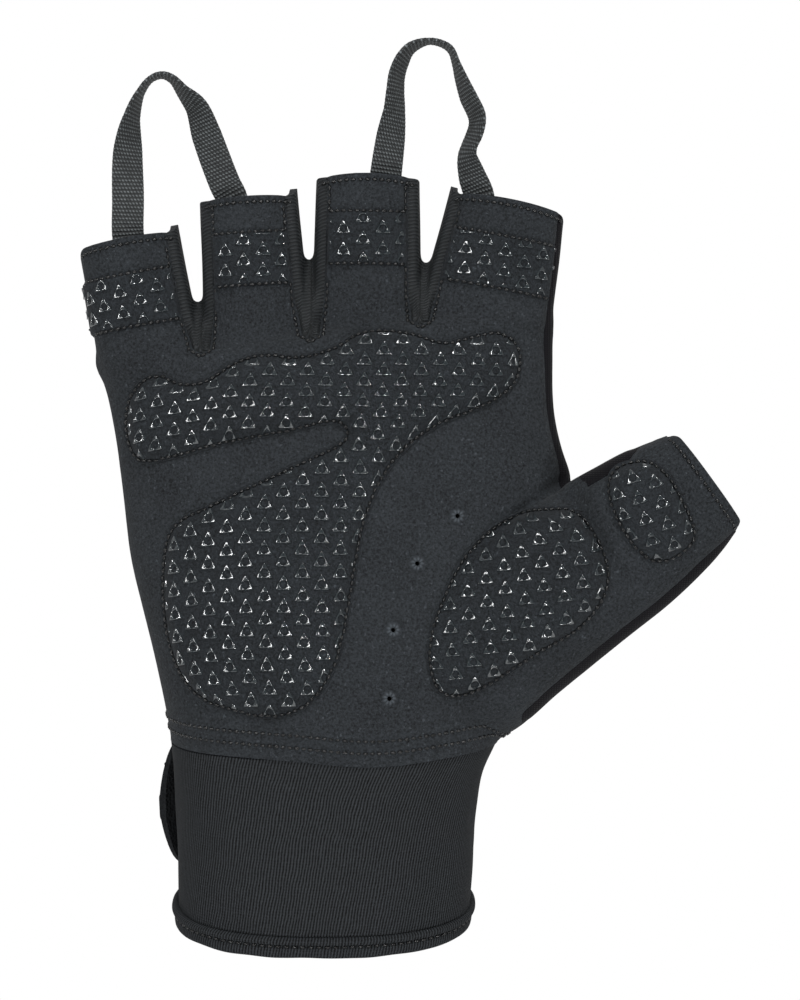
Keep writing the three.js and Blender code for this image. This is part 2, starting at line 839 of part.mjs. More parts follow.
const glove = new THREE.Group();

function addPiece(name, solid, finish) {
  const mesh = new THREE.Mesh(geometryOf(solid), finish);
  mesh.name = name;
  glove.add(mesh);
}

addPiece("palm_panel", palmPanel(), suede());
addPiece("back_panel", backPanel(), knit());
slots.forEach((slot) => addPiece(slot.name, gusset(slot), ribbing()));
[mainPad, thumbBasePad, thumbPad].forEach((pad) => addPiece(pad.name, padSolid(pad), print()));
fingers.forEach((finger) => addPiece(`${finger.name}_finger_band`, bandSolid(finger), print()));
pullLoops.forEach((loop) => addPiece(loop.name, pullLoop(loop), webbing()));
addPiece("wrist_cuff", wristCuff(), neoprene());
addPiece("hem_band", hemBand(), neoprene());
addPiece("wrist_strap", wristStrap(), hookTape());

export default glove;
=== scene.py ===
import math
from collections import namedtuple

import bmesh
import bpy
import numpy as np
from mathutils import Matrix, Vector, noise
from mathutils.bvhtree import BVHTree


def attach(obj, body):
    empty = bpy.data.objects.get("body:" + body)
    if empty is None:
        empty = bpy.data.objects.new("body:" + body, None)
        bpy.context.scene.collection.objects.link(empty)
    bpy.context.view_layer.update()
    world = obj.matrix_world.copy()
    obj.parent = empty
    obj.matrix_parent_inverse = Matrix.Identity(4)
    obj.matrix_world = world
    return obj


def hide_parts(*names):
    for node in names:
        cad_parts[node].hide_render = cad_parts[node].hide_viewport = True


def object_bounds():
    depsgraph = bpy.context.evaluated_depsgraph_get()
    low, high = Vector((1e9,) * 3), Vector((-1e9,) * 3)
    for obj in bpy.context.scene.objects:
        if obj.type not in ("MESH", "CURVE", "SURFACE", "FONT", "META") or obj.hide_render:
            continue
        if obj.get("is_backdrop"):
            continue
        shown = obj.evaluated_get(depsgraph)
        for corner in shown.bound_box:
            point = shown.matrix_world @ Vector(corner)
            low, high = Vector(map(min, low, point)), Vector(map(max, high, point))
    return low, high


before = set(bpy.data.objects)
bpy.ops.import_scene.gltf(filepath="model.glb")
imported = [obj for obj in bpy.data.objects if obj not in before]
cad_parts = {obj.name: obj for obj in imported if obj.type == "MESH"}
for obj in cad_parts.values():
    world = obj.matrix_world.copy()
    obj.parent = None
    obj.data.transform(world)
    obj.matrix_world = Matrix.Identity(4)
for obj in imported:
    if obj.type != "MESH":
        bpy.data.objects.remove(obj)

bl_info = {
    "name": "Weightlifting Glove",
    "version": (1, 0, 0),
    "blender": (4, 5, 0),
    "location": "View3D > Sidebar > Glove",
    "description": "Dresses the glove's fixed frame in suede, knit, webbing, print and thread",
    "category": "Object",
}

# The glove's sizes as in the part's source, in millimetres, degrees and shares
HAND_WIDTH = 108
PALM_LENGTH = 96
PALM_DEPTH = 34
FINGER_LENGTH = 36.7
FINGER_WIDTH = 25
FINGER_DEPTH = 21
FINGER_ROOT = 22
ROOT_TAPER = 0.7
THUMB_LENGTH = 72.8
THUMB_WIDTH = 43
THUMB_DEPTH = 40
THUMB_ANGLE = 36.1
CROTCH_SLOPE = 0.13
CUFF_LENGTH = 43
WRIST_WIDTH = 77.5
WRIST_DEPTH = 47
HEM_DEPTH = 4.6
HEM_TILT = 0.28
SEAM_TILT = 0.15
STRAP_WIDTH = 32
STRAP_THICKNESS = 2
STRAP_BASE = 8.6
STRAP_TAB = 10.4
STRAP_ROUND = 9
STRAP_BLUNT = 0.2
STRAP_START = 20
STRAP_LIFT = 150
WALL = 1.6
CUFF_WALL = 2.4
SUEDE_STEP = 0.3
CLEARANCE = 0.3
BAND_LENGTH = 13.2
BAND_SETBACK = 7.8
GUSSET_SHOW = 2.6
GUSSET_FOOT = 2.1
GUSSET_TAPER = 8
GUSSET_POINT = 1.2
WEBBING_WIDTH = 7.5
WEBBING_THICKNESS = 1.1
LOOP_TUCK = 8
LOOP_REACH = 34
OVAL_POWER = 2.35
WEB_WIDTH = 9
WEB_CREST = 3
WEB_FOOT = 1
END_SPARE = 5  # the skin runs this far past a finger's end before it is cut

# Shares of the palm's sizes: up, left, right, front, back, slope, tilt
PALM_SECTIONS = np.array(
    [
        (0.0, -0.339, 0.386, 0.69, 0.67, 0, 1),
        (0.11, -0.357, 0.396, 0.69, 0.64, 0, 0.7),
        (0.27, -0.389, 0.43, 0.65, 0.6, 0, 0.3),
        (0.46, -0.428, 0.48, 0.57, 0.55, 0, 0),
        (0.65, -0.45, 0.542, 0.5, 0.5, 0, 0),
        (0.71, -0.457, 0.525, 0.48, 0.49, 0, 0),
        (0.8, -0.469, 0.506, 0.46, 0.47, 0.2, 0),
        (0.92, -0.488, 0.503, 0.41, 0.43, 0.6, 0),
        (1.0, -0.505, 0.502, 0.33, 0.36, 1, 0),
        (1.03, -0.505, 0.49, 0.2, 0.2, 1, 0),
    ]
)
# Shares of the thumb's sizes: along, width, depth, lean
THUMB_SECTIONS = np.array(
    [
        (-0.2, 0.78, 0.6, 0.0),
        (0.0, 1.0, 0.85, 0.05),
        (0.21, 0.95, 0.84, 0.1),
        (0.45, 0.89, 0.74, 0.19),
        (0.69, 0.85, 0.66, 0.24),
        (0.87, 0.76, 0.6, 0.26),
        (1.0, 0.628, 0.56, 0.27),
    ]
)
THUMB_HEEL = (0.29, 0.193)
# Shares of the cuff's sizes: up, left, right
CUFF_SECTIONS = np.array(
    [
        (0.0, -0.457, 0.446),
        (0.3, -0.457, 0.458),
        (0.62, -0.463, 0.47),
        (0.83, -0.47, 0.493),
        (1.0, -0.477, 0.534),
    ]
)
# Shares of the hand's sizes, and the arch of the fingertip's edge in millimetres
Finger = namedtuple("Finger", "name foot tip reach foot_width tip_width arch")
FINGERS = (
    Finger("little", -0.384, -0.43, 0.6, 0.99, 0.965, 0.5),
    Finger("ring", -0.148, -0.168, 0.865, 1.02, 0.936, 0.5),
    Finger("middle", 0.091, 0.095, 1.0, 1.03, 0.985, 1.2),
    Finger("index", 0.356, 0.401, 0.84, 1.27, 1.12, 1.0),
)
WEBS = ((0.31, -0.276), (0.49, -0.04), (0.37, 0.216))  # rise, across
SIDE_SEAM = np.array(
    [(-0.8, 0.03), (-0.3, 0.02), (0.2, -0.06), (0.5, -0.15), (0.72, -0.3), (1.1, -0.37)]
)
VENT_ZONE = 3.2  # the suede is finer within this of an air hole
VENT_FOLDS = 9
# across and up the hand
VENTS = ((0.29, 0.55), (0.203, 0.435), (0.151, 0.275), (0.143, 0.11))
# Pads: left and foot as shares of the hand, width and height, then the outline's shares
PADS = {
    "main_grip_pad": (
        (-0.438, 0.06, 94, 91),
        [
            (0.0, 0.75), (0.01, 0.82), (0.045, 0.87), (0.095, 0.885), (0.15, 0.862),
            (0.21, 0.87), (0.28, 0.916), (0.355, 0.938), (0.44, 0.931), (0.525, 0.954),
            (0.59, 0.992), (0.66, 1.0), (0.73, 0.99), (0.8, 0.969), (0.87, 0.985),
            (0.935, 0.997), (0.985, 0.97), (1.0, 0.92), (0.985, 0.86), (0.94, 0.815),
            (0.875, 0.782), (0.79, 0.745), (0.715, 0.69), (0.66, 0.62), (0.62, 0.53),
            (0.595, 0.43), (0.575, 0.3), (0.55, 0.17), (0.51, 0.08), (0.45, 0.02),
            (0.37, 0.0), (0.28, 0.015), (0.2, 0.045), (0.145, 0.105), (0.11, 0.2),
            (0.097, 0.33), (0.107, 0.45), (0.145, 0.51), (0.21, 0.543), (0.31, 0.592),
            (0.44, 0.655), (0.54, 0.705), (0.555, 0.735), (0.52, 0.752), (0.42, 0.728),
            (0.26, 0.698), (0.13, 0.662), (0.05, 0.651), (0.015, 0.685),
        ],
    ),
    "thumb_base_pad": (
        (0.222, 0.108, 42.5, 44.5),
        [
            (0.67, 1.0), (0.81, 0.99), (0.93, 0.88), (1.0, 0.7), (0.98, 0.53),
            (0.84, 0.36), (0.6, 0.22), (0.36, 0.07), (0.18, 0.0), (0.05, 0.04),
            (0.0, 0.18), (0.01, 0.33), (0.07, 0.51), (0.18, 0.72), (0.34, 0.89),
            (0.52, 0.98),
        ],
    ),
    "thumb_pad": (
        (0.608, 0.436, 21, 24),
        [
            (0.31, 1.0), (0.51, 0.99), (0.7, 0.86), (0.84, 0.65), (0.98, 0.38),
            (0.98, 0.2), (0.76, 0.03), (0.51, 0.0), (0.31, 0.12), (0.14, 0.33),
            (0.02, 0.57), (0.0, 0.77), (0.1, 0.93),
        ],
    ),
}
# along, up, twist
LITTLE_LOOP = (
    (-0.97, 0.05, 0), (-0.74, 0.28, 4), (-0.42, 0.6, 30), (-0.13, 0.81, 66),
    (0.18, 0.95, 85), (0.43, 1.01, 90), (0.64, 1.01, 88), (0.79, 0.96, 80),
    (0.9, 0.84, 65), (1.02, 0.71, 40), (1.01, 0.51, 12), (1.0, 0.34, 4),
    (1.0, 0.15, 0), (1.02, 0.02, 0),
)
INDEX_LOOP = (
    (-0.96, 0.06, 0), (-1.01, 0.32, 18), (-1.04, 0.5, 42), (-1.1, 0.64, 52),
    (-1.13, 0.75, 56), (-1.08, 0.86, 62), (-0.96, 0.95, 74), (-0.64, 1.02, 90),
    (-0.35, 1.02, 88), (-0.17, 0.99, 84), (-0.01, 0.9, 78), (0.12, 0.82, 68),
    (0.34, 0.7, 54), (0.59, 0.58, 52), (0.63, 0.52, 52), (0.61, 0.44, 50),
    (0.56, 0.36, 52), (0.56, 0.29, 45), (0.72, 0.17, 20), (0.96, 0.02, 0),
)
PULL_LOOPS = {
    "pull_loop_left": (LITTLE_LOOP, (0, 0.02), (1, -0.36)),
    "pull_loop_right": (INDEX_LOOP, (2, 0.32), (3, -0.51)),
}

SEED = 7
CAD_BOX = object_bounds()
shared = {}


# Colours and the small node helper


def linear(code):
    """Turns an sRGB hex colour into the linear colour that a shader takes."""
    parts = [int(code[i : i + 2], 16) / 255 for i in (1, 3, 5)]
    return tuple(c / 12.92 if c <= 0.04045 else ((c + 0.055) / 1.055) ** 2.4 for c in parts)


def add_node(tree, kind, inputs=None, **settings):
    """Adds a node, sets its properties, and fills its inputs with values or links."""
    node = tree.nodes.new(kind)
    for key, value in settings.items():
        setattr(node, key, value)
    for name, value in (inputs or {}).items():
        if isinstance(value, bpy.types.NodeSocket):
            tree.links.new(value, node.inputs[name])
        else:
            node.inputs[name].default_value = value
    return node


def colours():
    return bpy.context.scene.glove_colours


def sizes():
    return bpy.context.scene.glove_sizes


# Curves and sections


def smooth_rows(rows, at):
    """Values of a table's columns at each parameter, on smooth curves through its rows."""
    rows = np.asarray(rows, float)
    t = rows[:, 0]
    values = rows[:, 1:]
    slope = np.gradient(values, t, axis=0)
    at = np.clip(np.asarray(at, float), t[0], t[-1])
    i = np.clip(np.searchsorted(t, at, side="right") - 1, 0, len(t) - 2)
    span = t[i + 1] - t[i]
    s = ((at - t[i]) / span)[:, None]
    h = span[:, None]
    return (
        values[i] * (2 * s**3 - 3 * s**2 + 1)
        + slope[i] * h * (s**3 - 2 * s**2 + s)
        + values[i + 1] * (3 * s**2 - 2 * s**3)
        + slope[i + 1] * h * (s**3 - s**2)
    )


def oval(angle, half_width, front, back):
    c = np.cos(angle)
    s = np.sin(angle)
    depth = np.where(s < 0, front, back)
    power = 2 / OVAL_POWER
    return (
        np.sign(c) * half_width * np.abs(c) ** power,
        np.sign(s) * depth * np.abs(s) ** power,
    )


def slot_foot(x):
    return CUFF_LENGTH + PALM_LENGTH + CROTCH_SLOPE * x


def cuff_points(height, angle, grow):
    """Points of the cuff's outer face, grown by the given amount."""
    up = np.clip(height / CUFF_LENGTH, 0, 1)
    left, right = (smooth_rows(CUFF_SECTIONS, np.atleast_1d(up)) * WRIST_WIDTH).T
    depth = WRIST_DEPTH / 2 - SUEDE_STEP + grow
    x, y = oval(angle, (right - left) / 2 - SUEDE_STEP + grow, depth, depth)
    tilt = HEM_TILT + (SEAM_TILT - HEM_TILT) * up
    return np.stack([(left + right) / 2 + x, y, height + tilt * y], axis=-1)


def finger_frame(finger):
    """A finger's start and end, its length, and its directions along and across."""
    foot, tip = finger.foot * HAND_WIDTH, finger.tip * HAND_WIDTH
    start = np.array([foot, 0, slot_foot(foot)])
    end = np.array([tip, 0, CUFF_LENGTH + PALM_LENGTH + finger.reach * FINGER_LENGTH])
    length = np.linalg.norm(end - start)
    axis = (end - start) / length
    return start, end, length, axis, np.array([axis[2], 0, -axis[0]])


def finger_half_width(finger, share):
    growth = (finger.tip_width - finger.foot_width) * np.maximum(share, 0)
    return (finger.foot_width + growth) * FINGER_WIDTH / 2


THUMB_TURN = math.radians(THUMB_ANGLE)
THUMB_AXIS = np.array([math.cos(THUMB_TURN), 0, math.sin(THUMB_TURN)])
THUMB_ACROSS = np.array([THUMB_AXIS[2], 0, -THUMB_AXIS[0]])
THUMB_START = np.array(
    [THUMB_HEEL[0] * HAND_WIDTH, 0, CUFF_LENGTH + THUMB_HEEL[1] * PALM_LENGTH]
)


# Skins: points, normals and triangles, in millimetres


def ring_quads(count, levels):
    """Four-cornered faces between each ring of points and the next."""
    i = np.arange(count)
    j = (i + 1) % count
    band = np.stack([i, j, count + j, count + i], 1)
    return np.concatenate([band + level * count for level in range(levels - 1)])


def halved(quads):
    """Two triangles for each four-cornered face."""
    return np.concatenate([quads[:, [0, 1, 2]], quads[:, [0, 2, 3]]])


def loft_mesh(rings):
    """A closed mesh through rings of equal count."""
    count = len(rings[0])
    points = np.concatenate([*rings, [rings[0].mean(0)], [rings[-1].mean(0)]])
    i = np.arange(count)
    j = (i + 1) % count
    last = (len(rings) - 1) * count
    low = np.stack([np.full(count, len(points) - 2), j, i], 1)
    high = np.stack([np.full(count, len(points) - 1), last + i, last + j], 1)
    return points, np.concatenate([halved(ring_quads(count, len(rings))), low, high])


def normals_of(points, faces):
    a, b, c = (points[faces[:, k]] for k in range(3))
    face = np.cross(b - a, c - a)
    total = np.zeros_like(points)
    for k in range(3):
        for axis in range(3):
            total[:, axis] += np.bincount(faces[:, k], face[:, axis], len(points))
    return total / np.maximum(np.linalg.norm(total, axis=1, keepdims=True), 1e-12)


def compact(points, normals, faces):
    used, index = np.unique(faces, return_inverse=True)
    return points[used], normals[used], index.reshape(faces.shape)


SLIVER = 0.02  # no cut runs nearer than this to a point that stays


def trim(skin, field):
    """Keeps the part of a skin where the field is above zero, cut cleanly along zero."""
    points, normals, faces = skin
    field = np.where(np.abs(field) < SLIVER, SLIVER, field)
    inside = field > 0
    count = inside[faces].sum(1)
    whole = faces[count == 3]
    mixed = faces[(count > 0) & (count < 3)]
    if len(mixed) == 0:
        return compact(points, normals, whole)
    state = inside[mixed]
    odd = np.where(state.sum(1) == 1, state.argmax(1), (~state).argmax(1))
    row = np.arange(len(mixed))
    a, b, c = (mixed[row, (odd + k) % 3] for k in range(3))
    pairs = np.concatenate([np.stack([a, b], 1), np.stack([a, c], 1)])
    pairs, index = np.unique(np.sort(pairs, 1), axis=0, return_inverse=True)
    index = index.ravel()
    f0, f1 = field[pairs[:, 0]], field[pairs[:, 1]]
    t = (f0 / (f0 - f1))[:, None]
    cut_points = points[pairs[:, 0]] * (1 - t) + points[pairs[:, 1]] * t
    cut_normals = normals[pairs[:, 0]] * (1 - t) + normals[pairs[:, 1]] * t
    p = len(points) + index[: len(mixed)]
    q = len(points) + index[len(mixed) :]
    lone = inside[a]
    other = ~lone
    faces = np.concatenate(
        [
            whole,
            np.stack([a, p, q], 1)[lone],
            np.stack([p, b, c], 1)[other],
            np.stack([p, c, q], 1)[other],
        ]
    )
    return compact(
        np.concatenate([points, cut_points]), np.concatenate([normals, cut_normals]), faces
    )


def edges_of(faces):
    return np.concatenate([faces[:, [0, 1]], faces[:, [1, 2]], faces[:, [2, 0]]])


def split(skin):
    """Divides every triangle of a skin into four."""
    points, normals, faces = skin
    edges = edges_of(faces)
    pairs, index = np.unique(np.sort(edges, 1), axis=0, return_inverse=True)
    index = index.ravel() + len(points)
    ab, bc, ca = np.split(index, 3)
    a, b, c = faces.T
    middle = points[pairs].mean(1)
    turned = normals[pairs].mean(1)
    turned /= np.linalg.norm(turned, axis=1, keepdims=True)
    faces = np.concatenate(
        [np.stack(corners, 1) for corners in ((a, ab, ca), (ab, b, bc), (ca, bc, c), (ab, bc, ca))]
    )
    return np.concatenate([points, middle]), np.concatenate([normals, turned]), faces


def thicken(skin, depth):
    """Gives a skin a wall of the given depth on its inner side, with closed rims."""
    points, normals, faces = skin
    edges = edges_of(faces)
    _, index, count = np.unique(np.sort(edges, 1), axis=0, return_index=True, return_counts=True)
    rim = edges[index[count == 1]]
    size = len(points)
    walls = np.concatenate(
        [
            np.stack([rim[:, 1], rim[:, 0], rim[:, 0] + size], 1),
            np.stack([rim[:, 1], rim[:, 0] + size, rim[:, 1] + size], 1),
        ]
    )
    inner = points - normals * depth
    return (
        np.concatenate([points, inner]),
        np.concatenate([faces, faces[:, ::-1] + size, walls]),
    )


def signed_distance(outline, x, z):
    """Distance from a closed outline, above zero inside it."""
    start = np.asarray(outline, float)
    end = np.roll(start, -1, axis=0)
    side = end - start
    best = np.full(len(x), 1e9)
    inside = np.zeros(len(x), bool)
    for a, b, d in zip(start, end, side):
        rel_x, rel_z = x - a[0], z - a[1]
        t = np.clip((rel_x * d[0] + rel_z * d[1]) / max(d @ d, 1e-12), 0, 1)
        best = np.minimum(best, (rel_x - t * d[0]) ** 2 + (rel_z - t * d[1]) ** 2)
        crosses = (a[1] > z) != (b[1] > z)
        if d[1]:
            inside ^= crosses & (x < a[0] + (z - a[1]) * d[0] / d[1])
    return np.where(inside, 1, -1) * np.sqrt(best)


def ease(value):
    t = np.clip(value, 0, 1)
    return t * t * (3 - 2 * t)


def link_object(name, data):
    obj = bpy.data.objects.new(name, data)
    bpy.context.scene.collection.objects.link(obj)
    return obj


def link_mesh(name, points, faces):
    """Makes a mesh object in metres from points in millimetres."""
    mesh = bpy.data.meshes.new(name)
    mesh.from_pydata((np.asarray(points) * 0.001).tolist(), [], np.asarray(faces).tolist())
    return link_object(name, mesh)


def mesh_object(name, points, faces, material, coords=None, sharp=50):
    """Makes a smooth mesh object, with a UV map in metres where coords are given."""
    obj = link_mesh(name, points, faces)
    mesh = obj.data
    if coords is not None:
        layer = mesh.uv_layers.new(name="surface")
        loops = np.empty(len(mesh.loops), dtype=np.int32)
        mesh.loops.foreach_get("vertex_index", loops)
        layer.data.foreach_set("uv", (np.asarray(coords) * 0.001)[loops].ravel())
    mesh.materials.append(material)
    mesh.shade_smooth()
    mesh.set_sharp_from_angle(angle=math.radians(sharp))
    return obj


def mesh_arrays(mesh):
    """A mesh's points in millimetres and its triangles."""
    mesh.calc_loop_triangles()
    points = np.empty(len(mesh.vertices) * 3)
    mesh.vertices.foreach_get("co", points)
    triangles = np.empty(len(mesh.loop_triangles) * 3, dtype=np.int32)
    mesh.loop_triangles.foreach_get("vertices", triangles)
    return points.reshape(-1, 3) * 1000, triangles.reshape(-1, 3)


def settle(obj, slot, *nodes):
    """Rides a finished piece on the glove, with the finish and the nodes that it stands for."""
    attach(obj, "root")
    if nodes:
        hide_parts(*nodes)
    return obj


def evaluated_mesh(obj):
    graph = bpy.context.evaluated_depsgraph_get()
    return bpy.data.meshes.new_from_object(obj.evaluated_get(graph), depsgraph=graph)


def surface_tree(points, faces):
    return BVHTree.FromPolygons(points.tolist(), faces.tolist())


# The skin of the hand


def ring_angles(count):
    return np.arange(count) * 2 * math.pi / count


LOFT_POINTS = 150


def hand_lofts():
    """Closed bodies of the palm, thumb, fingers and webs, which the skin wraps."""
    angles = ring_angles(LOFT_POINTS)
    bodies = []
    rings = [
        cuff_points(np.full(len(angles), height), angles, SUEDE_STEP)
        for height in np.linspace(CUFF_LENGTH - 11, CUFF_LENGTH - 1, 9)
    ]
    for up in np.linspace(0.0, PALM_SECTIONS[-1, 0], 70):
        left, right, front, back, slope, tilt = smooth_rows(PALM_SECTIONS, [up])[0]
        x, y = oval(
            angles, (right - left) / 2 * HAND_WIDTH, front * PALM_DEPTH, back * PALM_DEPTH
        )
        x = x + (left + right) / 2 * HAND_WIDTH
        rise = slope * CROTCH_SLOPE * x + tilt * SEAM_TILT * y
        rings.append(np.stack([x, y, CUFF_LENGTH + up * PALM_LENGTH + rise], 1))
    bodies.append(loft_mesh(rings))
    rings = []
    for along in np.append(np.linspace(-0.2, 1.0, 40), 1 + END_SPARE / THUMB_LENGTH):
        width, depth, lean = smooth_rows(THUMB_SECTIONS, [along])[0]
        x, y = oval(
            angles, width * THUMB_WIDTH / 2, depth * THUMB_DEPTH / 2, depth * THUMB_DEPTH / 2
        )
        centre = THUMB_START + THUMB_AXIS * along * THUMB_LENGTH
        ring = centre + x[:, None] * THUMB_ACROSS
        ring[:, 1] += y - lean * THUMB_DEPTH
        rings.append(ring)
    bodies.append(loft_mesh(rings))
    for finger in FINGERS:
        start, _, length, axis, across = finger_frame(finger)
        rings = []
        for along in [-FINGER_ROOT, *np.linspace(0, length, 12), length + END_SPARE]:
            taper = ROOT_TAPER if along < 0 else 1
            x, y = oval(
                angles,
                finger_half_width(finger, along / length) * taper,
                FINGER_DEPTH / 2 * taper,
                FINGER_DEPTH / 2 * taper,
            )
            ring = start + axis * along + x[:, None] * across
            ring[:, 1] += y
            rings.append(ring)
        bodies.append(loft_mesh(rings))
    last = PALM_SECTIONS[-2]
    front, back = last[3] * PALM_DEPTH, last[4] * PALM_DEPTH
    for rise, across in WEBS:
        centre = across * HAND_WIDTH
        foot = slot_foot(centre)
        levels = (
            (foot - FINGER_ROOT / 2, front - WALL, back - WALL),
            (foot - WEB_FOOT, front, back),
            (foot + rise * FINGER_LENGTH, WEB_CREST / 2, WEB_CREST / 2),
        )
        rings = []
        for height, fore, aft in levels:
            x, y = oval(angles, WEB_WIDTH / 2, fore, aft)
            rings.append(np.stack([centre + x, y, np.full(len(x), height)], 1))
        bodies.append(loft_mesh(rings))
    return bodies


def soft_noise(points, broad, narrow, shift, share):
    """Two sizes of smooth noise at each point, by their scales, the narrow one weaker."""
    return np.array(
        [
            noise.noise(Vector(place * broad))
            + share * noise.noise(Vector(place * narrow + (shift, 0, 0)))
            for place in points
        ]
    )


CREASE_START, CREASE_END = np.array([55.0, 105.0]), np.array([70.5, 77.0])  # x, z
CREASE_WIDTH = 3.2
CREASE_DEPTH = 2.9


def fabric_swell(points, normals):
    """Low dents and swells of worn cloth and the thumb's crease, along the normal."""
    swell = soft_noise(points, (0.045, 0.06, 0.03), (0.11, 0.1, 0.08), 7, 0.45)
    flat = points[:, [0, 2]]
    side = CREASE_END - CREASE_START
    t = np.clip(((flat - CREASE_START) @ side) / (side @ side), 0, 1)
    away = np.linalg.norm(flat - CREASE_START - t[:, None] * side, axis=1)
    crease = np.exp(-((away / CREASE_WIDTH) ** 2)) * ease(t / 0.2 + 0.35) * ease((1 - t) / 0.4)
    return swell * 0.32 - CREASE_DEPTH * crease * ease(-normals[:, 1] / 0.5)


def hand_skin():
    """The glove's outer skin as one closed fine mesh, made once and then shared."""
    if "skin" in shared:
        return shared["skin"]
    points, faces, offset = [], [], 0
    for body_points, body_faces in hand_lofts():
        points.append(body_points)
        faces.append(body_faces + offset)
        offset += len(body_points)
    obj = link_mesh("skin", np.concatenate(points), np.concatenate(faces))
    remesh = obj.modifiers.new("wrap", "REMESH")
    remesh.mode = "VOXEL"
    remesh.voxel_size = sizes().skin_step
    soften = obj.modifiers.new("soften", "SMOOTH")
    soften.factor = 0.5
    soften.iterations = 9
    points, triangles = mesh_arrays(evaluated_mesh(obj))
    bpy.data.objects.remove(obj)
    normals = normals_of(points, triangles)
    if np.mean(np.sum(normals * (points - points.mean(0)), 1)) < 0:
        triangles = triangles[:, ::-1]
        normals = -normals
    points = points + normals * fabric_swell(points, normals)[:, None]
    shared["skin"] = (points, normals_of(points, triangles), triangles)
    shared["skin_tree"] = surface_tree(points, triangles)
    return shared["skin"]


EARS = {"little": 1, "ring": 1, "index": -1}  # fingers whose binding ends in a point, its side
EAR_WIDTH = 2.4
EAR_HEIGHT = 2.5
CORNER = 1.8  # radius of the little and index fingertips' outer corners
THUMB_CORNER = 2.0
END_ZONE = 12  # an end cuts the skin no farther down its finger than this
END_SPREAD = 4  # nor farther beside it than this
FAR = 50.0


def rounded(off, half, radius):
    """How far a corner of the given radius falls back from a straight end."""
    share = np.clip((off - half + radius) / radius, 0, 1)
    return radius * (1 - np.sqrt(1 - share**2))


def end_shift(finger, off):
    """How far past its length a finger's end reaches: its arch less the outer corner's round."""
    half = finger_half_width(finger, 1)
    outer = {"little": -off, "index": off}.get(finger.name, 0 * off)
    arch = finger.arch * (0.6 - np.clip(off / half, -1, 1) ** 2)
    return arch - rounded(outer, half, CORNER)


def seam_dip(x, y):
    """How far the wrist seam hangs down in a soft bow on the palm side."""
    return 1.9 * np.exp(-(((x - 12) / 17) ** 2)) * (y < 0)


def end_field(points, ears=0.0):
    """Distance inside the finger and thumb ends and above the suede's lower edge."""
    x, y, z = points.T
    field = np.full(len(points), FAR)
    for finger in FINGERS:
        start, _, length, axis, across = finger_frame(finger)
        along = (points - start) @ axis
        off = (points - start) @ across
        half = finger_half_width(finger, 1)
        near = (np.abs(off) < half + END_SPREAD) & (along > length - END_ZONE)
        inward = EARS.get(finger.name, 0) * off - half + EAR_WIDTH
        end = length + end_shift(finger, off) + ears * np.clip(inward / EAR_WIDTH, 0, 1) ** 2
        field = np.where(near, np.minimum(field, end - along), field)
    along = (points - THUMB_START) @ THUMB_AXIS
    off = (points - THUMB_START) @ THUMB_ACROSS
    half = THUMB_SECTIONS[-1, 1] * THUMB_WIDTH / 2
    near = (np.abs(off) < THUMB_WIDTH / 2 + END_SPREAD) & (along > THUMB_LENGTH - END_ZONE)
    end = THUMB_LENGTH - rounded(np.abs(off), half, THUMB_CORNER)
    field = np.where(near, np.minimum(field, end - along), field)
    above = z - (CUFF_LENGTH + SEAM_TILT * y - seam_dip(x, y))
    return np.minimum(field, np.where(z < CUFF_LENGTH + PALM_LENGTH / 4, above, FAR))


def seam_y(x):
    return np.interp(x, SIDE_SEAM[:, 0] * HAND_WIDTH, SIDE_SEAM[:, 1] * PALM_DEPTH)


def palm_field(points):
    """Distance on the palm's side of its border with the knit back."""
    x, y, z = points.T
    field = seam_y(x) - y
    along = (points - THUMB_START) @ THUMB_AXIS
    off = (points - THUMB_START) @ THUMB_ACROSS
    half = smooth_rows(THUMB_SECTIONS, along / THUMB_LENGTH)[:, 0] * THUMB_WIDTH / 2
    low_rim = 0.4 + 2.3 * ease((THUMB_LENGTH + 2 - along) / 16)
    low = (off > 0) & (along > -14)
    near_seam = 5 * ease((CUFF_LENGTH + 7 - z) / 7)
    field = np.where(low, np.minimum(field, half - low_rim - off + near_seam), field)
    high_rim = 2.9 * ease((66 - along) / 9)
    high = (off < 0) & (-off < half + 6) & (along > 48.5) & (along < 68)
    return np.where(high, np.minimum(field, half - high_rim + off), field)


def slot_outline(i):
    """The V of the gusset between two fingers, seen from the palm side."""
    left_finger, right_finger = FINGERS[i], FINGERS[i + 1]

    def seam_point(finger, side, along):
        start, _, length, axis, across = finger_frame(finger)
        offset = finger_half_width(finger, along / length) - GUSSET_SHOW
        place = start + axis * along + across * side * offset
        return place[0], place[2]

    left, right = finger_frame(left_finger), finger_frame(right_finger)
    middle = (
        left[0][0]
        + finger_half_width(left_finger, 0)
        + right[0][0]
        - finger_half_width(right_finger, 0)
    ) / 2
    low = slot_foot(middle)
    return np.array(
        [
            (middle, low - GUSSET_POINT),
            (middle + GUSSET_FOOT, low),
            seam_point(right_finger, -1, GUSSET_TAPER),
            seam_point(right_finger, -1, right[2] + 2 * END_SPARE),
            seam_point(left_finger, 1, left[2] + 2 * END_SPARE),
            seam_point(left_finger, 1, GUSSET_TAPER),
            (middle - GUSSET_FOOT, low),
        ]
    )


def slot_distance(points):
    """Distance inside the nearest gusset's outline."""
    x, _, z = points.T
    return np.max([signed_distance(slot_outline(i), x, z) for i in range(3)], axis=0)


def catmull(points, count):
    """A closed smooth curve through points, as evenly counted samples."""
    points = np.asarray(points, float)
    t = np.arange(count) * len(points) / count
    i = np.floor(t).astype(int)
    s = (t - i)[:, None]
    p0, p1, p2, p3 = (points[(i + k) % len(points)] for k in (-1, 0, 1, 2))
    return 0.5 * (
        2 * p1
        + (p2 - p0) * s
        + (2 * p0 - 5 * p1 + 4 * p2 - p3) * s**2
        + (3 * p1 - p0 - 3 * p2 + p3) * s**3
    )


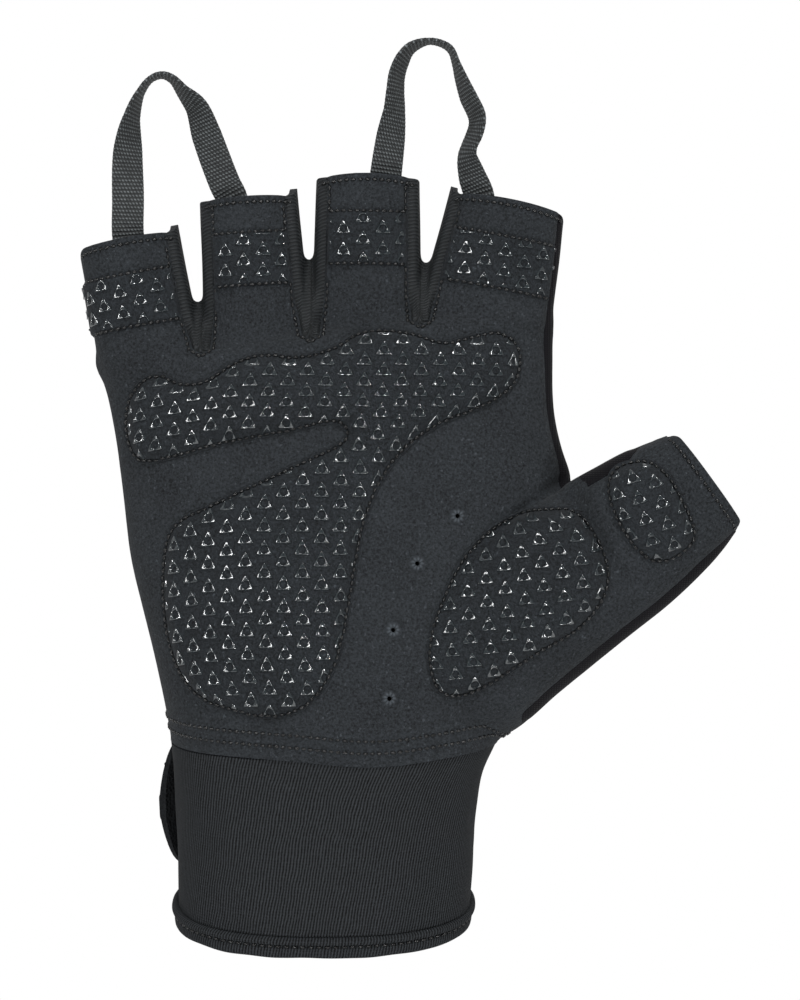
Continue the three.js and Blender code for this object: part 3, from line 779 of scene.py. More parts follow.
def pad_outline(name):
    (left, foot, width, height), rows = PADS[name]
    rows = np.array(rows)
    start = np.array([left * HAND_WIDTH, CUFF_LENGTH + foot * PALM_LENGTH])
    return catmull(start + rows * (width, height), 4 * len(rows))


# Materials


def new_material(name, base, roughness, specular=0.5):
    material = bpy.data.materials.new(name)
    material.use_nodes = True
    tree = material.node_tree
    shader = tree.nodes["Principled BSDF"]
    shader.inputs["Base Color"].default_value = (*base, 1)
    shader.inputs["Roughness"].default_value = roughness
    shader.inputs["Specular IOR Level"].default_value = specular
    material.diffuse_color = (*base, 1)
    return material, tree, shader


def maths(tree, operation, *values):
    inputs = dict(enumerate(values))
    return add_node(tree, "ShaderNodeMath", inputs, operation=operation).outputs[0]


def product(tree, first, second):
    return maths(tree, "MULTIPLY", first, second)


def summed(tree, value, factor, rest):
    return maths(tree, "MULTIPLY_ADD", value, factor, rest)


def spread(tree, value, low, high, to_low=0.0, to_high=1.0):
    """Maps the values between low and high to a new range."""
    inputs = {"Value": value, "From Min": low, "From Max": high}
    inputs.update({"To Min": to_low, "To Max": to_high})
    return add_node(tree, "ShaderNodeMapRange", inputs).outputs[0]


def shade(base, strength):
    return (*[c * strength for c in base], 1)


def mixed_colour(tree, factor, first, second):
    inputs = {0: factor, 6: first, 7: second}
    return add_node(tree, "ShaderNodeMix", inputs, data_type="RGBA").outputs[2]


def wave(tree, value, period):
    """A wave from 0 to 1 along a coordinate in metres."""
    sine = maths(tree, "SINE", product(tree, value, 2 * math.pi / period))
    return summed(tree, sine, 0.5, 0.5)


def noise_at(tree, coords, size, detail=2.0, roughness=0.5):
    inputs = {"Vector": coords, "Scale": 1 / size, "Detail": detail, "Roughness": roughness}
    return add_node(tree, "ShaderNodeTexNoise", inputs).outputs["Fac"]


def in_object(tree):
    return add_node(tree, "ShaderNodeTexCoord").outputs["Object"]


def on_surface(tree):
    """Metres across and along a piece, from its UV map."""
    place = add_node(tree, "ShaderNodeUVMap", uv_map="surface").outputs[0]
    parts = add_node(tree, "ShaderNodeSeparateXYZ", {0: place}).outputs
    return parts["X"], parts["Y"]


def tint(tree, shader, factor, base, low, high):
    """Colours the shader between a darker and a lighter shade of the base."""
    between = mixed_colour(tree, factor, shade(base, low), shade(base, high))
    tree.links.new(between, shader.inputs["Base Color"])
    return between


def emboss(tree, shader, height, strength, distance):
    inputs = {"Height": height, "Strength": strength, "Distance": distance}
    bump = add_node(tree, "ShaderNodeBump", inputs)
    tree.links.new(bump.outputs[0], shader.inputs["Normal"])


def napped_suede(name, base):
    """Microfibre suede: a cut nap, so matt, with pale fibre specks and brushed patches."""
    material, tree, shader = new_material(name, base, 0.92, 0.2)
    coords = in_object(tree)
    nap = noise_at(tree, coords, 0.0006, 3, 0.8)
    brushed = noise_at(tree, coords, 0.014)
    speck = spread(tree, noise_at(tree, coords, 0.0008, 1), 0.68, 0.76)
    # Painted highlight: each air hole's puckered ring is painted paler, most on the crests of its
    # raised petals
    pucker = add_node(tree, "ShaderNodeAttribute", attribute_name="pucker").outputs["Fac"]
    light = maths(tree, "MAXIMUM", product(tree, speck, 0.35), pucker)
    mixed = summed(tree, nap, 0.88, product(tree, brushed, 0.12))
    tone = tint(tree, shader, spread(tree, mixed, 0.3, 0.7), base, 0.1, 2.2)
    pale = mixed_colour(tree, light, tone, shade(base, 6))
    tree.links.new(pale, shader.inputs["Base Color"])
    emboss(tree, shader, nap, 0.8, 0.0004)
    shader.inputs["Sheen Weight"].default_value = 0.03
    shader.inputs["Sheen Roughness"].default_value = 0.5
    return material


def warp_knit(name, base):
    """Stretch warp knit: rows of small loops, so a fine grain that is almost black."""
    material, tree, shader = new_material(name, base, 0.85, 0.12)
    coords = in_object(tree)
    parts = add_node(tree, "ShaderNodeSeparateXYZ", {0: coords}).outputs
    loops = product(tree, wave(tree, parts["X"], 0.0006), wave(tree, parts["Z"], 0.0005))
    height = summed(tree, loops, 0.8, product(tree, noise_at(tree, coords, 0.003), 0.4))
    tint(tree, shader, height, base, 0.7, 1.35)
    emboss(tree, shader, height, 0.6, 0.0003)
    shader.inputs["Sheen Weight"].default_value = 0.03
    return material


def rib_tape(name, base):
    """Ribbed stretch binding: slanted ribs 0.85 mm apart, soft light on each rib."""
    material, tree, shader = new_material(name, base, 0.7, 0.35)
    ribs = wave(tree, on_surface(tree)[1], 0.00085)
    grain = noise_at(tree, in_object(tree), 0.0006)
    height = summed(tree, ribs, 0.9, product(tree, grain, 0.2))
    # Painted highlight on each rib's crest and painted shade between the ribs
    tint(tree, shader, height, base, 0.45, 1.6)
    emboss(tree, shader, height, 0.9, 0.0004)
    return material


def gel_print(name, base):
    """Screen-printed silicone: thick clear-black gel with a wet gloss on its rounded edges."""
    material, tree, shader = new_material(name, base, 0.2)
    film = noise_at(tree, in_object(tree), 0.0012)
    emboss(tree, shader, film, 0.5, 0.0002)
    tree.links.new(spread(tree, film, 0.0, 1.0, 0.04, 0.2), shader.inputs["Roughness"])
    shader.inputs["IOR"].default_value = 1.43
    shader.inputs["Coat Weight"].default_value = 1.0
    shader.inputs["Coat IOR"].default_value = 1.7
    shader.inputs["Coat Roughness"].default_value = 0.08
    return material


def woven_tape(name, base):
    """Grosgrain pull tape: cross ribs 0.9 mm apart, each a brick row of short warp floats."""
    material, tree, shader = new_material(name, base, 0.6, 0.35)
    across, along = on_surface(tree)
    ribs = wave(tree, along, 0.0009)
    warp = wave(tree, summed(tree, along, 0.47, across), 0.0008)
    uneven = noise_at(tree, in_object(tree), 0.0016)
    # Painted highlight on the crest of each warp float and painted shade between them, made uneven
    # by noise
    painted_float_light = product(tree, product(tree, ribs, warp), uneven)
    tint(tree, shader, spread(tree, painted_float_light, 0.02, 0.5), base, 0.35, 3.2)
    emboss(tree, shader, summed(tree, ribs, 0.8, product(tree, warp, 0.3)), 0.8, 0.0004)
    return material


def faced_neoprene(name, base):
    """Neoprene faced with fine jersey: wandering, slanted ribs 0.7 mm apart, matt."""
    material, tree, shader = new_material(name, base, 0.75, 0.15)
    across, along = on_surface(tree)
    coords = in_object(tree)
    shifted = summed(tree, noise_at(tree, coords, 0.006), 0.0009, across)
    ribs = wave(tree, summed(tree, along, -0.16, shifted), 0.0007)
    loops = wave(tree, along, 0.00062)
    height = summed(tree, ribs, 0.8, product(tree, loops, 0.12))
    tone = summed(tree, height, 0.9, product(tree, noise_at(tree, coords, 0.0005), 0.6))
    tint(tree, shader, spread(tree, tone, 0.3, 1.1), base, 0.0, 2.6)
    emboss(tree, shader, tone, 0.8, 0.0003)
    return material


def hook_tape(name, base):
    """Brushed loop tape of the closure: a short curly pile, so rough and nearly black."""
    material, tree, shader = new_material(name, base, 0.9, 0.2)
    inputs = {"Vector": in_object(tree), "Scale": 1 / 0.0008}
    pile = add_node(tree, "ShaderNodeTexVoronoi", inputs).outputs["Distance"]
    tint(tree, shader, pile, base, 0.5, 1.8)
    emboss(tree, shader, pile, 0.9, 0.0004)
    return material


def sewing_thread(name, base):
    """Twisted polyester thread: black with a small bright line on each stitch."""
    material, tree, shader = new_material(name, base, 0.3)
    tint(tree, shader, noise_at(tree, in_object(tree), 0.0005, 1), base, 0.4, 1.6)
    return material


def matt_acrylic(name, base):
    """Matt white acrylic sheet, so soft and nearly even."""
    material, tree, shader = new_material(name, base, 0.8)
    tint(tree, shader, noise_at(tree, in_object(tree), 0.25, 1), base, 0.99, 1.01)
    return material


MAKERS = {
    "suede": napped_suede,
    "pad_suede": napped_suede,
    "back_knit": warp_knit,
    "gusset_rib": rib_tape,
    "silicone_print": gel_print,
    "webbing": woven_tape,
    "neoprene": faced_neoprene,
    "hook_tape": hook_tape,
    "thread": sewing_thread,
}


def finish(slot):
    """The material of one of the record's slots, made when it is first asked for."""
    key = "finish " + slot
    if key not in shared:
        shared[key] = MAKERS[slot](slot, tuple(getattr(colours(), slot)))
    return shared[key]


# Trees of Geometry Nodes


def start_tree(name, inputs):
    tree = bpy.data.node_groups.new(name, "GeometryNodeTree")
    face = tree.interface
    face.new_socket(name="Geometry", in_out="INPUT", socket_type="NodeSocketGeometry")
    face.new_socket(name="Geometry", in_out="OUTPUT", socket_type="NodeSocketGeometry")
    ids = {}
    for label, kind in inputs:
        ids[label] = face.new_socket(name=label, in_out="INPUT", socket_type=kind).identifier
    return tree, ids


def run_tree(obj, tree, ids, values):
    """Sets a tree's inputs on an object and returns the plain mesh that it makes."""
    modifier = obj.modifiers.new(tree.name, "NODES")
    modifier.node_group = tree
    for label, value in values.items():
        modifier[ids[label]] = value
    mesh = evaluated_mesh(obj)
    obj.modifiers.remove(modifier)
    return mesh


def place_copies(tree, inputs, material):
    """Puts real copies on points, gives them their material, and ends the tree."""
    placed = add_node(tree, "GeometryNodeInstanceOnPoints", inputs)
    real = add_node(tree, "GeometryNodeRealizeInstances", {0: placed.outputs[0]})
    inputs = {"Geometry": real.outputs[0], "Material": material}
    coloured = add_node(tree, "GeometryNodeSetMaterial", inputs)
    add_node(tree, "NodeGroupOutput", {"Geometry": coloured.outputs[0]})


def stitch_tree():
    """Lays one stitch on each point, turned along its seam and up from the cloth."""
    if "stitch tree" in shared:
        return shared["stitch tree"]
    tree, ids = start_tree(
        "stitch row",
        [
            ("Stitch", "NodeSocketObject"),
            ("Unevenness", "NodeSocketFloat"),
            ("Seed", "NodeSocketInt"),
            ("Thread", "NodeSocketMaterial"),
        ],
    )
    start = add_node(tree, "NodeGroupInput").outputs
    stitch = add_node(tree, "GeometryNodeObjectInfo", {"Object": start["Stitch"]})
    kind = "GeometryNodeInputNamedAttribute"
    run, face = (
        add_node(tree, kind, {0: label}, data_type="FLOAT_VECTOR") for label in ("run", "face")
    )
    turn = add_node(
        tree,
        "FunctionNodeAxesToRotation",
        {"Primary Axis": run.outputs[0], "Secondary Axis": face.outputs[0]},
        primary_axis="X",
        secondary_axis="Z",
    )
    least = maths(tree, "SUBTRACT", 1.0, start["Unevenness"])
    most = maths(tree, "ADD", 1.0, start["Unevenness"])
    inputs = {2: least, 3: most, "Seed": start["Seed"]}
    size = add_node(tree, "FunctionNodeRandomValue", inputs, data_type="FLOAT")
    place_copies(
        tree,
        {
            "Points": start["Geometry"],
            "Instance": stitch.outputs["Geometry"],
            "Rotation": turn.outputs[0],
            "Scale": size.outputs[1],
        },
        start["Thread"],
    )
    shared["stitch tree"] = (tree, ids)
    return tree, ids


def print_tree():
    """Repeats one printed mark in staggered columns over a rectangle in the x, z plane."""
    tree, ids = start_tree(
        "grip print",
        [
            ("Mark", "NodeSocketObject"),
            ("Columns", "NodeSocketInt"),
            ("Rows", "NodeSocketInt"),
            ("Column Pitch", "NodeSocketFloat"),
            ("Row Pitch", "NodeSocketFloat"),
            ("Ink", "NodeSocketMaterial"),
        ],
    )
    start = add_node(tree, "NodeGroupInput").outputs
    width, height = (
        product(tree, maths(tree, "SUBTRACT", start[label + "s"], 1), start[label + " Pitch"])
        for label in ("Column", "Row")
    )
    grid = add_node(
        tree,
        "GeometryNodeMeshGrid",
        {
            "Size X": width,
            "Size Y": height,
            "Vertices X": start["Columns"],
            "Vertices Y": start["Rows"],
        },
    )
    place = add_node(tree, "GeometryNodeInputPosition")
    parts = add_node(tree, "ShaderNodeSeparateXYZ", {0: place.outputs[0]}).outputs
    column = maths(tree, "ROUND", maths(tree, "DIVIDE", parts["X"], start["Column Pitch"]))
    odd = maths(tree, "FLOORED_MODULO", column, 2)
    lift = product(tree, odd, product(tree, start["Row Pitch"], 0.5))
    inputs = {"X": parts["X"], "Y": 0.0, "Z": maths(tree, "ADD", parts["Y"], lift)}
    moved = add_node(tree, "ShaderNodeCombineXYZ", inputs)
    inputs = {"Geometry": grid.outputs["Mesh"], "Position": moved.outputs[0]}
    staggered = add_node(tree, "GeometryNodeSetPosition", inputs)
    mark = add_node(tree, "GeometryNodeObjectInfo", {"Object": start["Mark"]})
    inputs = {"Points": staggered.outputs[0], "Instance": mark.outputs["Geometry"]}
    place_copies(tree, inputs, start["Ink"])
    return tree, ids


# Pieces of cloth


def cloth_piece(name, skin, wall, slot, node, coords=None):
    """A skin with a wall, as the finished piece that stands for a node."""
    points, faces = thicken(skin, wall)
    if coords is not None:
        coords = np.concatenate([coords, coords])
    obj = mesh_object(name, points, faces, finish(slot), coords)
    return settle(obj, slot, node)


def half_skin(side, gap):
    """The skin on the palm's side of the border (1) or the back's (-1), a gap away from it."""
    skin = hand_skin()
    skin = trim(skin, end_field(skin[0]))
    skin = trim(skin, side * palm_field(skin[0]) - gap)
    return trim(skin, -slot_distance(skin[0]))


def turned_edge(distance, depth, reach):
    """How far a sewn edge is drawn in, by its distance from the seam."""
    return -depth * np.exp(-((distance / reach) ** 2))


def drawn_in(points, side):
    """How far a half's cloth is drawn in, at the gussets and at its border."""
    draw = turned_edge(-slot_distance(points), 0.35, 0.8)
    return draw + turned_edge(side * palm_field(points), 0.3, 0.9)


def near_vents(points):
    """Distance from the nearest air hole, and the bearing round it."""
    best = np.full(len(points), 99.0)
    bearing = np.zeros(len(points))
    for across, up in VENTS:
        x = points[:, 0] - across * HAND_WIDTH
        z = points[:, 2] - CUFF_LENGTH - up * PALM_LENGTH
        away = np.where(points[:, 1] < 0, np.hypot(x, z), 99)
        bearing = np.where(away < best, np.arctan2(z, x), bearing)
        best = np.minimum(best, away)
    return best, bearing


def welded(first, second):
    """Two skins as one, with points that lie on the same spot joined."""
    points, normals, faces = compact(
        np.concatenate([first[0], second[0]]),
        np.concatenate([first[1], second[1]]),
        np.concatenate([first[2], second[2] + len(first[0])]),
    )
    _, spot, index = np.unique(
        np.round(points, 4), axis=0, return_index=True, return_inverse=True
    )
    return points[spot], normals[spot], index.ravel()[faces]


def make_palm():
    points, normals, faces = half_skin(1, 0)
    close = (near_vents(points)[0][faces] < VENT_ZONE).all(1)
    fine = split(split(compact(points, normals, faces[close])))
    skin = welded((points, normals, faces[~close]), fine)
    radius = sizes().vent_radius * 1000
    points, normals, faces = trim(skin, near_vents(skin[0])[0] - radius)
    hole, bearing = near_vents(points)
    petal = 0.5 + 0.5 * np.cos(VENT_FOLDS * bearing)
    ring = np.exp(-(((hole - radius - 0.5) / 0.5) ** 2))
    hollow = 0.45 * np.exp(-(((hole - 2.0) / 0.7) ** 2))
    draw = drawn_in(points, 1) - hollow + (0.12 + 0.22 * petal) * ring
    points = points + normals * draw[:, None]
    obj = cloth_piece("palm_suede", (points, normals, faces), WALL, "suede", "palm_panel")
    # Painted highlight on each air hole's puckered ring, strongest on the raised petals, passed to
    # the suede's colour
    layer = obj.data.attributes.new("pucker", "FLOAT", "POINT")
    shown = (0.12 + 0.6 * petal) * ring
    layer.data.foreach_set("value", np.concatenate([shown, shown * 0]).astype(np.float32))


def make_back():
    points, normals, faces = half_skin(-1, 0.1)
    points = points + normals * drawn_in(points, -1)[:, None]
    cloth_piece("back_knit_panel", (points, normals, faces), WALL, "back_knit", "back_panel")


def make_gussets():
    skin = hand_skin()
    skin = trim(skin, end_field(skin[0], EAR_HEIGHT))
    x, _, z = skin[0].T
    for i in range(3):
        outline = slot_outline(i)
        points, normals, faces = split(trim(skin, signed_distance(outline, x, z)))
        inside = signed_distance(outline, points[:, 0], points[:, 2])
        middle, low = outline[0]
        high = points[:, 2] - low
        roll = 0.6 * np.exp(-(((inside - 1.35) / 0.8) ** 2)) - 0.6 * np.exp(-((inside / 0.5) ** 2))
        around = np.arctan2(points[:, 0] - middle, high + 6)
        pleats = 0.55 * np.cos(around * 26) * ease(1 - high / 13) * ease(inside / 1.2)
        points = points + normals * (roll + pleats)[:, None]
        side = np.where(points[:, 0] < middle, -1, 1)
        slant = high + 0.45 * side * inside + 0.35 * points[:, 1]
        cloth_piece(
            f"ribbed_gusset_{i + 1}",
            (points, normals, faces),
            WALL,
            "gusset_rib",
            f"gusset_{i + 1}",
            np.stack([inside, slant], 1),
        )


def raised_piece(kind, name, skin, height, gap):
    """A piece that stands up from the suede, shared as the bed of its print."""
    points, normals, faces = skin
    points = points + normals * height[:, None]
    shared["print beds"][name] = (points, faces)
    closed, all_faces = thicken((points, normals, faces), height[:, None] - gap)
    obj = mesh_object(kind + name, closed, all_faces, finish("pad_suede"))
    return settle(obj, "pad_suede", name)


def pad_profile(inside):
    """Height of a pad above the suede by the distance from its sewn edge."""
    rise = sizes().pad_rise * 1000
    edge = 0.1 + 0.35 * ease(inside / 0.25) - 0.3 * np.exp(-(((inside - 0.75) / 0.3) ** 2))
    crown = (rise - 0.45) * ease((inside - 0.8) / 3.4) ** 0.8
    return CLEARANCE * 0.4 + edge + crown


def make_pads():
    palm = hand_skin()
    x, y, z = palm[0].T
    shared["print beds"] = {}
    for name in PADS:
        outline = pad_outline(name)
        field = np.where(y < seam_y(x), signed_distance(outline, x, z), -5)
        skin = split(trim(palm, field))
        inside = signed_distance(outline, skin[0][:, 0], skin[0][:, 2])
        obj = raised_piece("padded_", name, skin, pad_profile(np.maximum(inside, 0)), 0.08)


def band_distance(finger, points):
    """Distance inside a finger's printed band, along and across the finger."""
    start, _, length, axis, across = finger_frame(finger)
    along = (points - start) @ axis
    off = np.abs((points - start) @ across)
    top = length - BAND_SETBACK
    field = np.minimum(top - along, along - top + BAND_LENGTH)
    field = np.minimum(field, FINGER_WIDTH * 0.75 - off)
    field = np.minimum(field, -slot_distance(points) - 0.45)
    return np.minimum(field, seam_y(points[:, 0]) - points[:, 1] - 0.4)


def make_bands():
    skin = hand_skin()
    for finger in FINGERS:
        part = split(trim(skin, band_distance(finger, skin[0])))
        inside = np.maximum(band_distance(finger, part[0]), 0)
        height = 0.12 + 0.6 * ease(inside / 0.9)
        raised_piece("printed_", finger.name + "_finger_band", part, height, 0.06)


# The grip print


def mark_object():
    """One printed mark: a rounded triangle with a round hole, as a low raised ring."""
    side = sizes().mark_side * 1000
    hole = sizes().mark_hole * 1000 / 2
    lift = sizes().mark_lift * 1000
    count = 21
    angle = math.pi / 2 + ring_angles(count)
    inner = side / math.sqrt(12)
    tilt = (angle - math.pi / 2 + math.pi / 3) % (2 * math.pi / 3) - math.pi / 3
    edge = inner / np.cos(math.pi / 3 - np.abs(tilt))
    edge = np.minimum(edge, side * 0.53)
    rings = (
        (edge, 0.0),
        (edge - 0.06, lift * 0.6),
        (edge - 0.17, lift * 0.93),
        (np.maximum(edge - 0.34, hole + 0.13), lift),
        (np.full(count, hole + 0.11), lift * 0.96),
        (np.full(count, hole + 0.02), lift * 0.6),
        (np.full(count, hole - 0.05), 0.0),
    )
    points = np.concatenate(
        [
            np.stack([r * np.cos(angle), np.full(count, -h), r * np.sin(angle)], 1)
            for r, h in rings
        ]
    )
    return link_mesh("mark", points, ring_quads(count, len(rings)))


def seen_from_palm(tree, x, z):
    """What a ray meets that runs straight into the palm: place, normal, face and distance."""
    return tree.ray_cast(Vector((x, -200, z)), Vector((0, 1, 0)))


def arc_rows(tree, points):
    """Rows of x against the length measured over the surface, for laying flat prints."""
    low, high = points.min(0), points.max(0)
    middle = (low[0] + high[0]) / 2
    xs = np.arange(low[0] - 3, high[0] + 3, 0.4)
    rows = []
    heights = np.arange(low[2], high[2] + 1, 1.5)
    for z in heights:
        hits = [seen_from_palm(tree, x, z)[0] for x in xs]
        depth = np.array([hit.y if hit else np.nan for hit in hits])
        known = ~np.isnan(depth)
        if known.sum() < 2:
            rows.append(xs - middle)
            continue
        depth = np.interp(xs, xs[known], depth[known])
        step = np.hypot(np.diff(xs), np.diff(depth))
        length = np.concatenate([[0], np.cumsum(step)])
        rows.append(length - np.interp(middle, xs, length))
    return xs, heights, np.array(rows)


PAD_MARGIN, BAND_MARGIN = 1.3, 1.0  # bare rims round the prints
PRINTS = {  # column pitch, row pitch in millimetres, lean in degrees, centre of one mark
    "main_grip_pad": (4.42, 4.86, 0.0, (0.6, 127.3)),
    "thumb_base_pad": (4.5, 5.37, 4.5, (51.2, 79.6)),
    "thumb_pad": (4.66, 5.0, 17.0, (73.1, 99.8)),
    "little_finger_band": (4.42, 4.95, 10.0, (-47.9, 148.2)),
    "ring_finger_band": (4.5, 4.84, 1.0, (-18.8, 155.7)),
    "middle_finger_band": (4.65, 5.05, 0.0, (9.2, 160.8)),
    "index_finger_band": (4.65, 4.77, -4.0, (37.8, 155.9)),
}


def drawn_print(across, height):
    """Draws the main pad's columns down and aside, as its stretched cloth has drawn them."""
    down = -height
    height = height - 0.105 * np.maximum(down - 9.7, 0)
    across = across - 0.06 * down + 0.00092 * down**2
    return across, height - 0.0033 * np.maximum(-13.2 - across, 0) ** 2


def flat_marks(holder, tree, ids, mark, pitches, reach):
    """A flat sheet of marks that reaches past a bed on all sides."""
    columns, rows = (
        int((2 * half + spare) / pitch) // 2 * 2 + 1
        for half, spare, pitch in zip(reach, (24, 12), pitches)
    )
    values = {
        "Mark": mark,
        "Columns": columns,
        "Rows": rows,
        "Column Pitch": pitches[0] * 0.001,
        "Row Pitch": pitches[1] * 0.001,
        "Ink": finish("silicone_print"),
    }
    return mesh_arrays(run_tree(holder, tree, ids, values))


def bent_sheet(flat, name, lean, home, arcs):
    """The sheet turned to its lean and bent over its bed: x, height above the bed, z."""
    xs, levels, rows = arcs
    turn = math.radians(lean)
    across = flat[:, 0] * math.cos(turn) - flat[:, 2] * math.sin(turn)
    height = flat[:, 0] * math.sin(turn) + flat[:, 2] * math.cos(turn)
    if name == "main_grip_pad":
        across, height = drawn_print(across, height)
    nearest = np.abs(levels - home[1]).argmin()
    across = across + np.interp(home[0], xs, rows[nearest])
    height = height + home[1]
    level = np.clip((height - levels[0]) / (levels[1] - levels[0]), 0, len(levels) - 1.001)
    base = np.floor(level).astype(int)
    part = level - base
    placed = np.empty(len(flat))
    for k in np.unique(base):
        chosen = base == k
        lower = np.interp(across[chosen], rows[k], xs)
        upper = np.interp(across[chosen], rows[k + 1], xs)
        placed[chosen] = lower * (1 - part[chosen]) + upper * part[chosen]
    return np.stack([placed, flat[:, 1], height], 1)


def print_edge(name, sheet):
    """Distance inside the printed part of a pad or band."""
    if name in PADS:
        return signed_distance(pad_outline(name), sheet[:, 0], sheet[:, 2]) - PAD_MARGIN
    finger = next(finger for finger in FINGERS if name.startswith(finger.name))
    probe = sheet.copy()
    probe[:, 1] = -FINGER_DEPTH / 2
    return band_distance(finger, probe) - BAND_MARGIN


def pressed_on(tree, facing, sheet, triangles):
    """The sheet laid on its bed, without the points that miss it."""
    keep = np.ones(len(sheet), bool)
    spots = sheet.copy()
    for k, (x, rise, z) in enumerate(sheet):
        hit, _, index, _ = seen_from_palm(tree, x, z)
        if hit is None:
            keep[k] = False
        else:
            spots[k] = np.array(hit) - facing[index] * (rise + 0.02)
    spots, _, triangles = compact(spots, spots, triangles[keep[triangles].all(1)])
    return spots, triangles


def make_prints():
    mark = mark_object()
    tree, ids = print_tree()
    holder = link_object("print sheet", bpy.data.meshes.new("print sheet"))
    for name, (column, row, lean, home) in PRINTS.items():
        points, faces = shared["print beds"][name]
        low, high = points.min(0), points.max(0)
        reach = np.maximum(high[[0, 2]] - home, home - low[[0, 2]])
        flat, triangles = flat_marks(holder, tree, ids, mark, (column, row), reach)
        bed = surface_tree(points, faces)
        sheet = bent_sheet(flat, name, lean, home, arc_rows(bed, points))
        sheet, _, triangles = trim((sheet, sheet, triangles), print_edge(name, sheet))
        facing = normals_of(points, faces)[faces].mean(1)
        spots, triangles = pressed_on(bed, facing, sheet, triangles)
        if normals_of(spots, triangles)[:, 1].mean() > 0:
            triangles = triangles[:, ::-1]
        obj = mesh_object("print_" + name, spots, triangles, finish("silicone_print"), sharp=75)
        settle(obj, "silicone_print")
    bpy.data.objects.remove(mark)
    bpy.data.objects.remove(holder)


# Stitches

PAD_SEAM = 0.75  # how far inside the pads' edges they are sewn down
BAND_SEAM = 0.5
END_SEAM = 1.5
THUMB_END_SEAM = 2.0
WRIST_SEAMS = (3.2, 6.0)  # above the suede's lower edge
WRIST_PITCH, HEM_PITCH = 1.6, 1.9
GUSSET_SEAM = 0.9


def stitch_object():
    """One stitch: a short plump thread that dives at both ends."""
    length = sizes().stitch_length * 1000
    width = sizes().thread_width * 1000
    around = ring_angles(6)
    rings = []
    for s in np.linspace(-1, 1, 5):
        radius = width / 2 * math.sqrt(max(1 - s * s, 0.06))
        dive = 0.16 * (1 - s * s) - 0.1
        x = np.full(len(around), s * length / 2)
        rings.append(np.stack([x, np.cos(around) * radius, np.sin(around) * radius + dive], 1))
    return link_mesh("stitch", *loft_mesh(rings))


def even_points(path, pitch, closed):
    """Points spaced evenly along a path, and the direction of the path at each."""
    path = np.asarray(path, float)
    if closed:
        path = np.concatenate([path, path[:1]])
    step = np.linalg.norm(np.diff(path, axis=0), axis=1)
    run = np.concatenate([[0], np.cumsum(step)])
    count = max(int(run[-1] / pitch), 2)
    at = (np.arange(count) + 0.5) * run[-1] / count
    behind, spots, ahead = (
        np.stack([np.interp(at + shift, run, path[:, k]) for k in range(3)], 1)
        for shift in (-0.3, 0, 0.3)
    )
    heading = ahead - behind
    return spots, heading / np.linalg.norm(heading, axis=1, keepdims=True)


def front_path(surface, flat):
    """Lays a path of (x, z) points on a surface, seen from the palm side."""
    hits = [seen_from_palm(surface, x, z)[0] for x, z in flat]
    return np.array([tuple(hit) for hit in hits if hit])


def sew(name, rows, pitch=None):
    """Makes one piece of stitches from rows of (surface, path, closed, lift)."""
    if "stitch" not in shared:
        shared["stitch"] = stitch_object()
    pitch = pitch or sizes().stitch_pitch * 1000
    spots, runs, ups = [], [], []
    for surface, path, closed, lift in rows:
        if len(path) < 2:
            continue
        for place, run in zip(*even_points(path, pitch, closed)):
            hit, normal, _, _ = surface.find_nearest(Vector(place))
            if hit is None:
                continue
            spots.append(np.array(hit) + np.array(normal) * lift)
            runs.append(run)
            ups.append(normal)
    holder = link_mesh(name, spots, [])
    for label, values in (("run", runs), ("face", ups)):
        layer = holder.data.attributes.new(label, "FLOAT_VECTOR", "POINT")
        layer.data.foreach_set("vector", np.array(values, dtype=np.float32).ravel())
    values = {
        "Stitch": shared["stitch"],
        "Unevenness": 0.12,
        "Seed": SEED,
        "Thread": finish("thread"),
    }
    made = run_tree(holder, *stitch_tree(), values)
    bpy.data.objects.remove(holder)
    made.shade_smooth()
    settle(link_object(name, made), "thread")


def faces_of_ring(margin):
    """Angles over the front and the back of an oval, kept off its sides."""
    turn = np.radians(np.linspace(margin, 180 - margin, 40))
    return -turn, turn


def band_rows(finger):
    """The two rows of stitches across a finger's printed band."""
    bed = surface_tree(*shared["print beds"][finger.name + "_finger_band"])
    start, _, length, axis, across = finger_frame(finger)
    half = finger_half_width(finger, 1)
    left = -half + (0.6 if finger.name == "little" else GUSSET_SHOW + 0.6)
    right = half - (0.6 if finger.name == "index" else GUSSET_SHOW + 0.6)
    top = length - BAND_SETBACK
    for along in (top - BAND_SEAM, top - BAND_LENGTH + BAND_SEAM):
        line = [start + axis * along + across * off for off in np.linspace(left, right, 24)]
        yield bed, front_path(bed, [(x, z) for x, _, z in line]), False, 0.14


def end_rows(skin):
    """The rows round the open ends of the fingers and the thumb, front and back."""
    for finger in FINGERS:
        start, _, length, axis, across = finger_frame(finger)
        for angles in faces_of_ring(20):
            depth = FINGER_DEPTH / 2
            x, y = oval(angles, finger_half_width(finger, 1), depth, depth)
            along = length - END_SEAM + end_shift(finger, x)
            ring = start + along[:, None] * axis + x[:, None] * across
            ring[:, 1] += y
            yield skin, ring, False, 0.08
    width, depth, lean = smooth_rows(THUMB_SECTIONS, [0.97])[0]
    half, deep = width * THUMB_WIDTH / 2, depth * THUMB_DEPTH / 2
    for angles in faces_of_ring(24):
        x, y = oval(angles, half, deep, deep)
        along = THUMB_LENGTH - THUMB_END_SEAM - rounded(np.abs(x), half, THUMB_CORNER + 0.4)
        ring = THUMB_START + along[:, None] * THUMB_AXIS + x[:, None] * THUMB_ACROSS
        ring[:, 1] += y - lean * THUMB_DEPTH
        yield skin, ring, False, 0.08


def wrist_rows(skin):
    """The two rows round the suede's lower edge."""
    for height in WRIST_SEAMS:
        ring = cuff_points(np.full(160, float(CUFF_LENGTH)), ring_angles(160), SUEDE_STEP)
        ring[:, 2] += height - seam_dip(ring[:, 0], ring[:, 1])
        yield skin, ring, True, -0.03


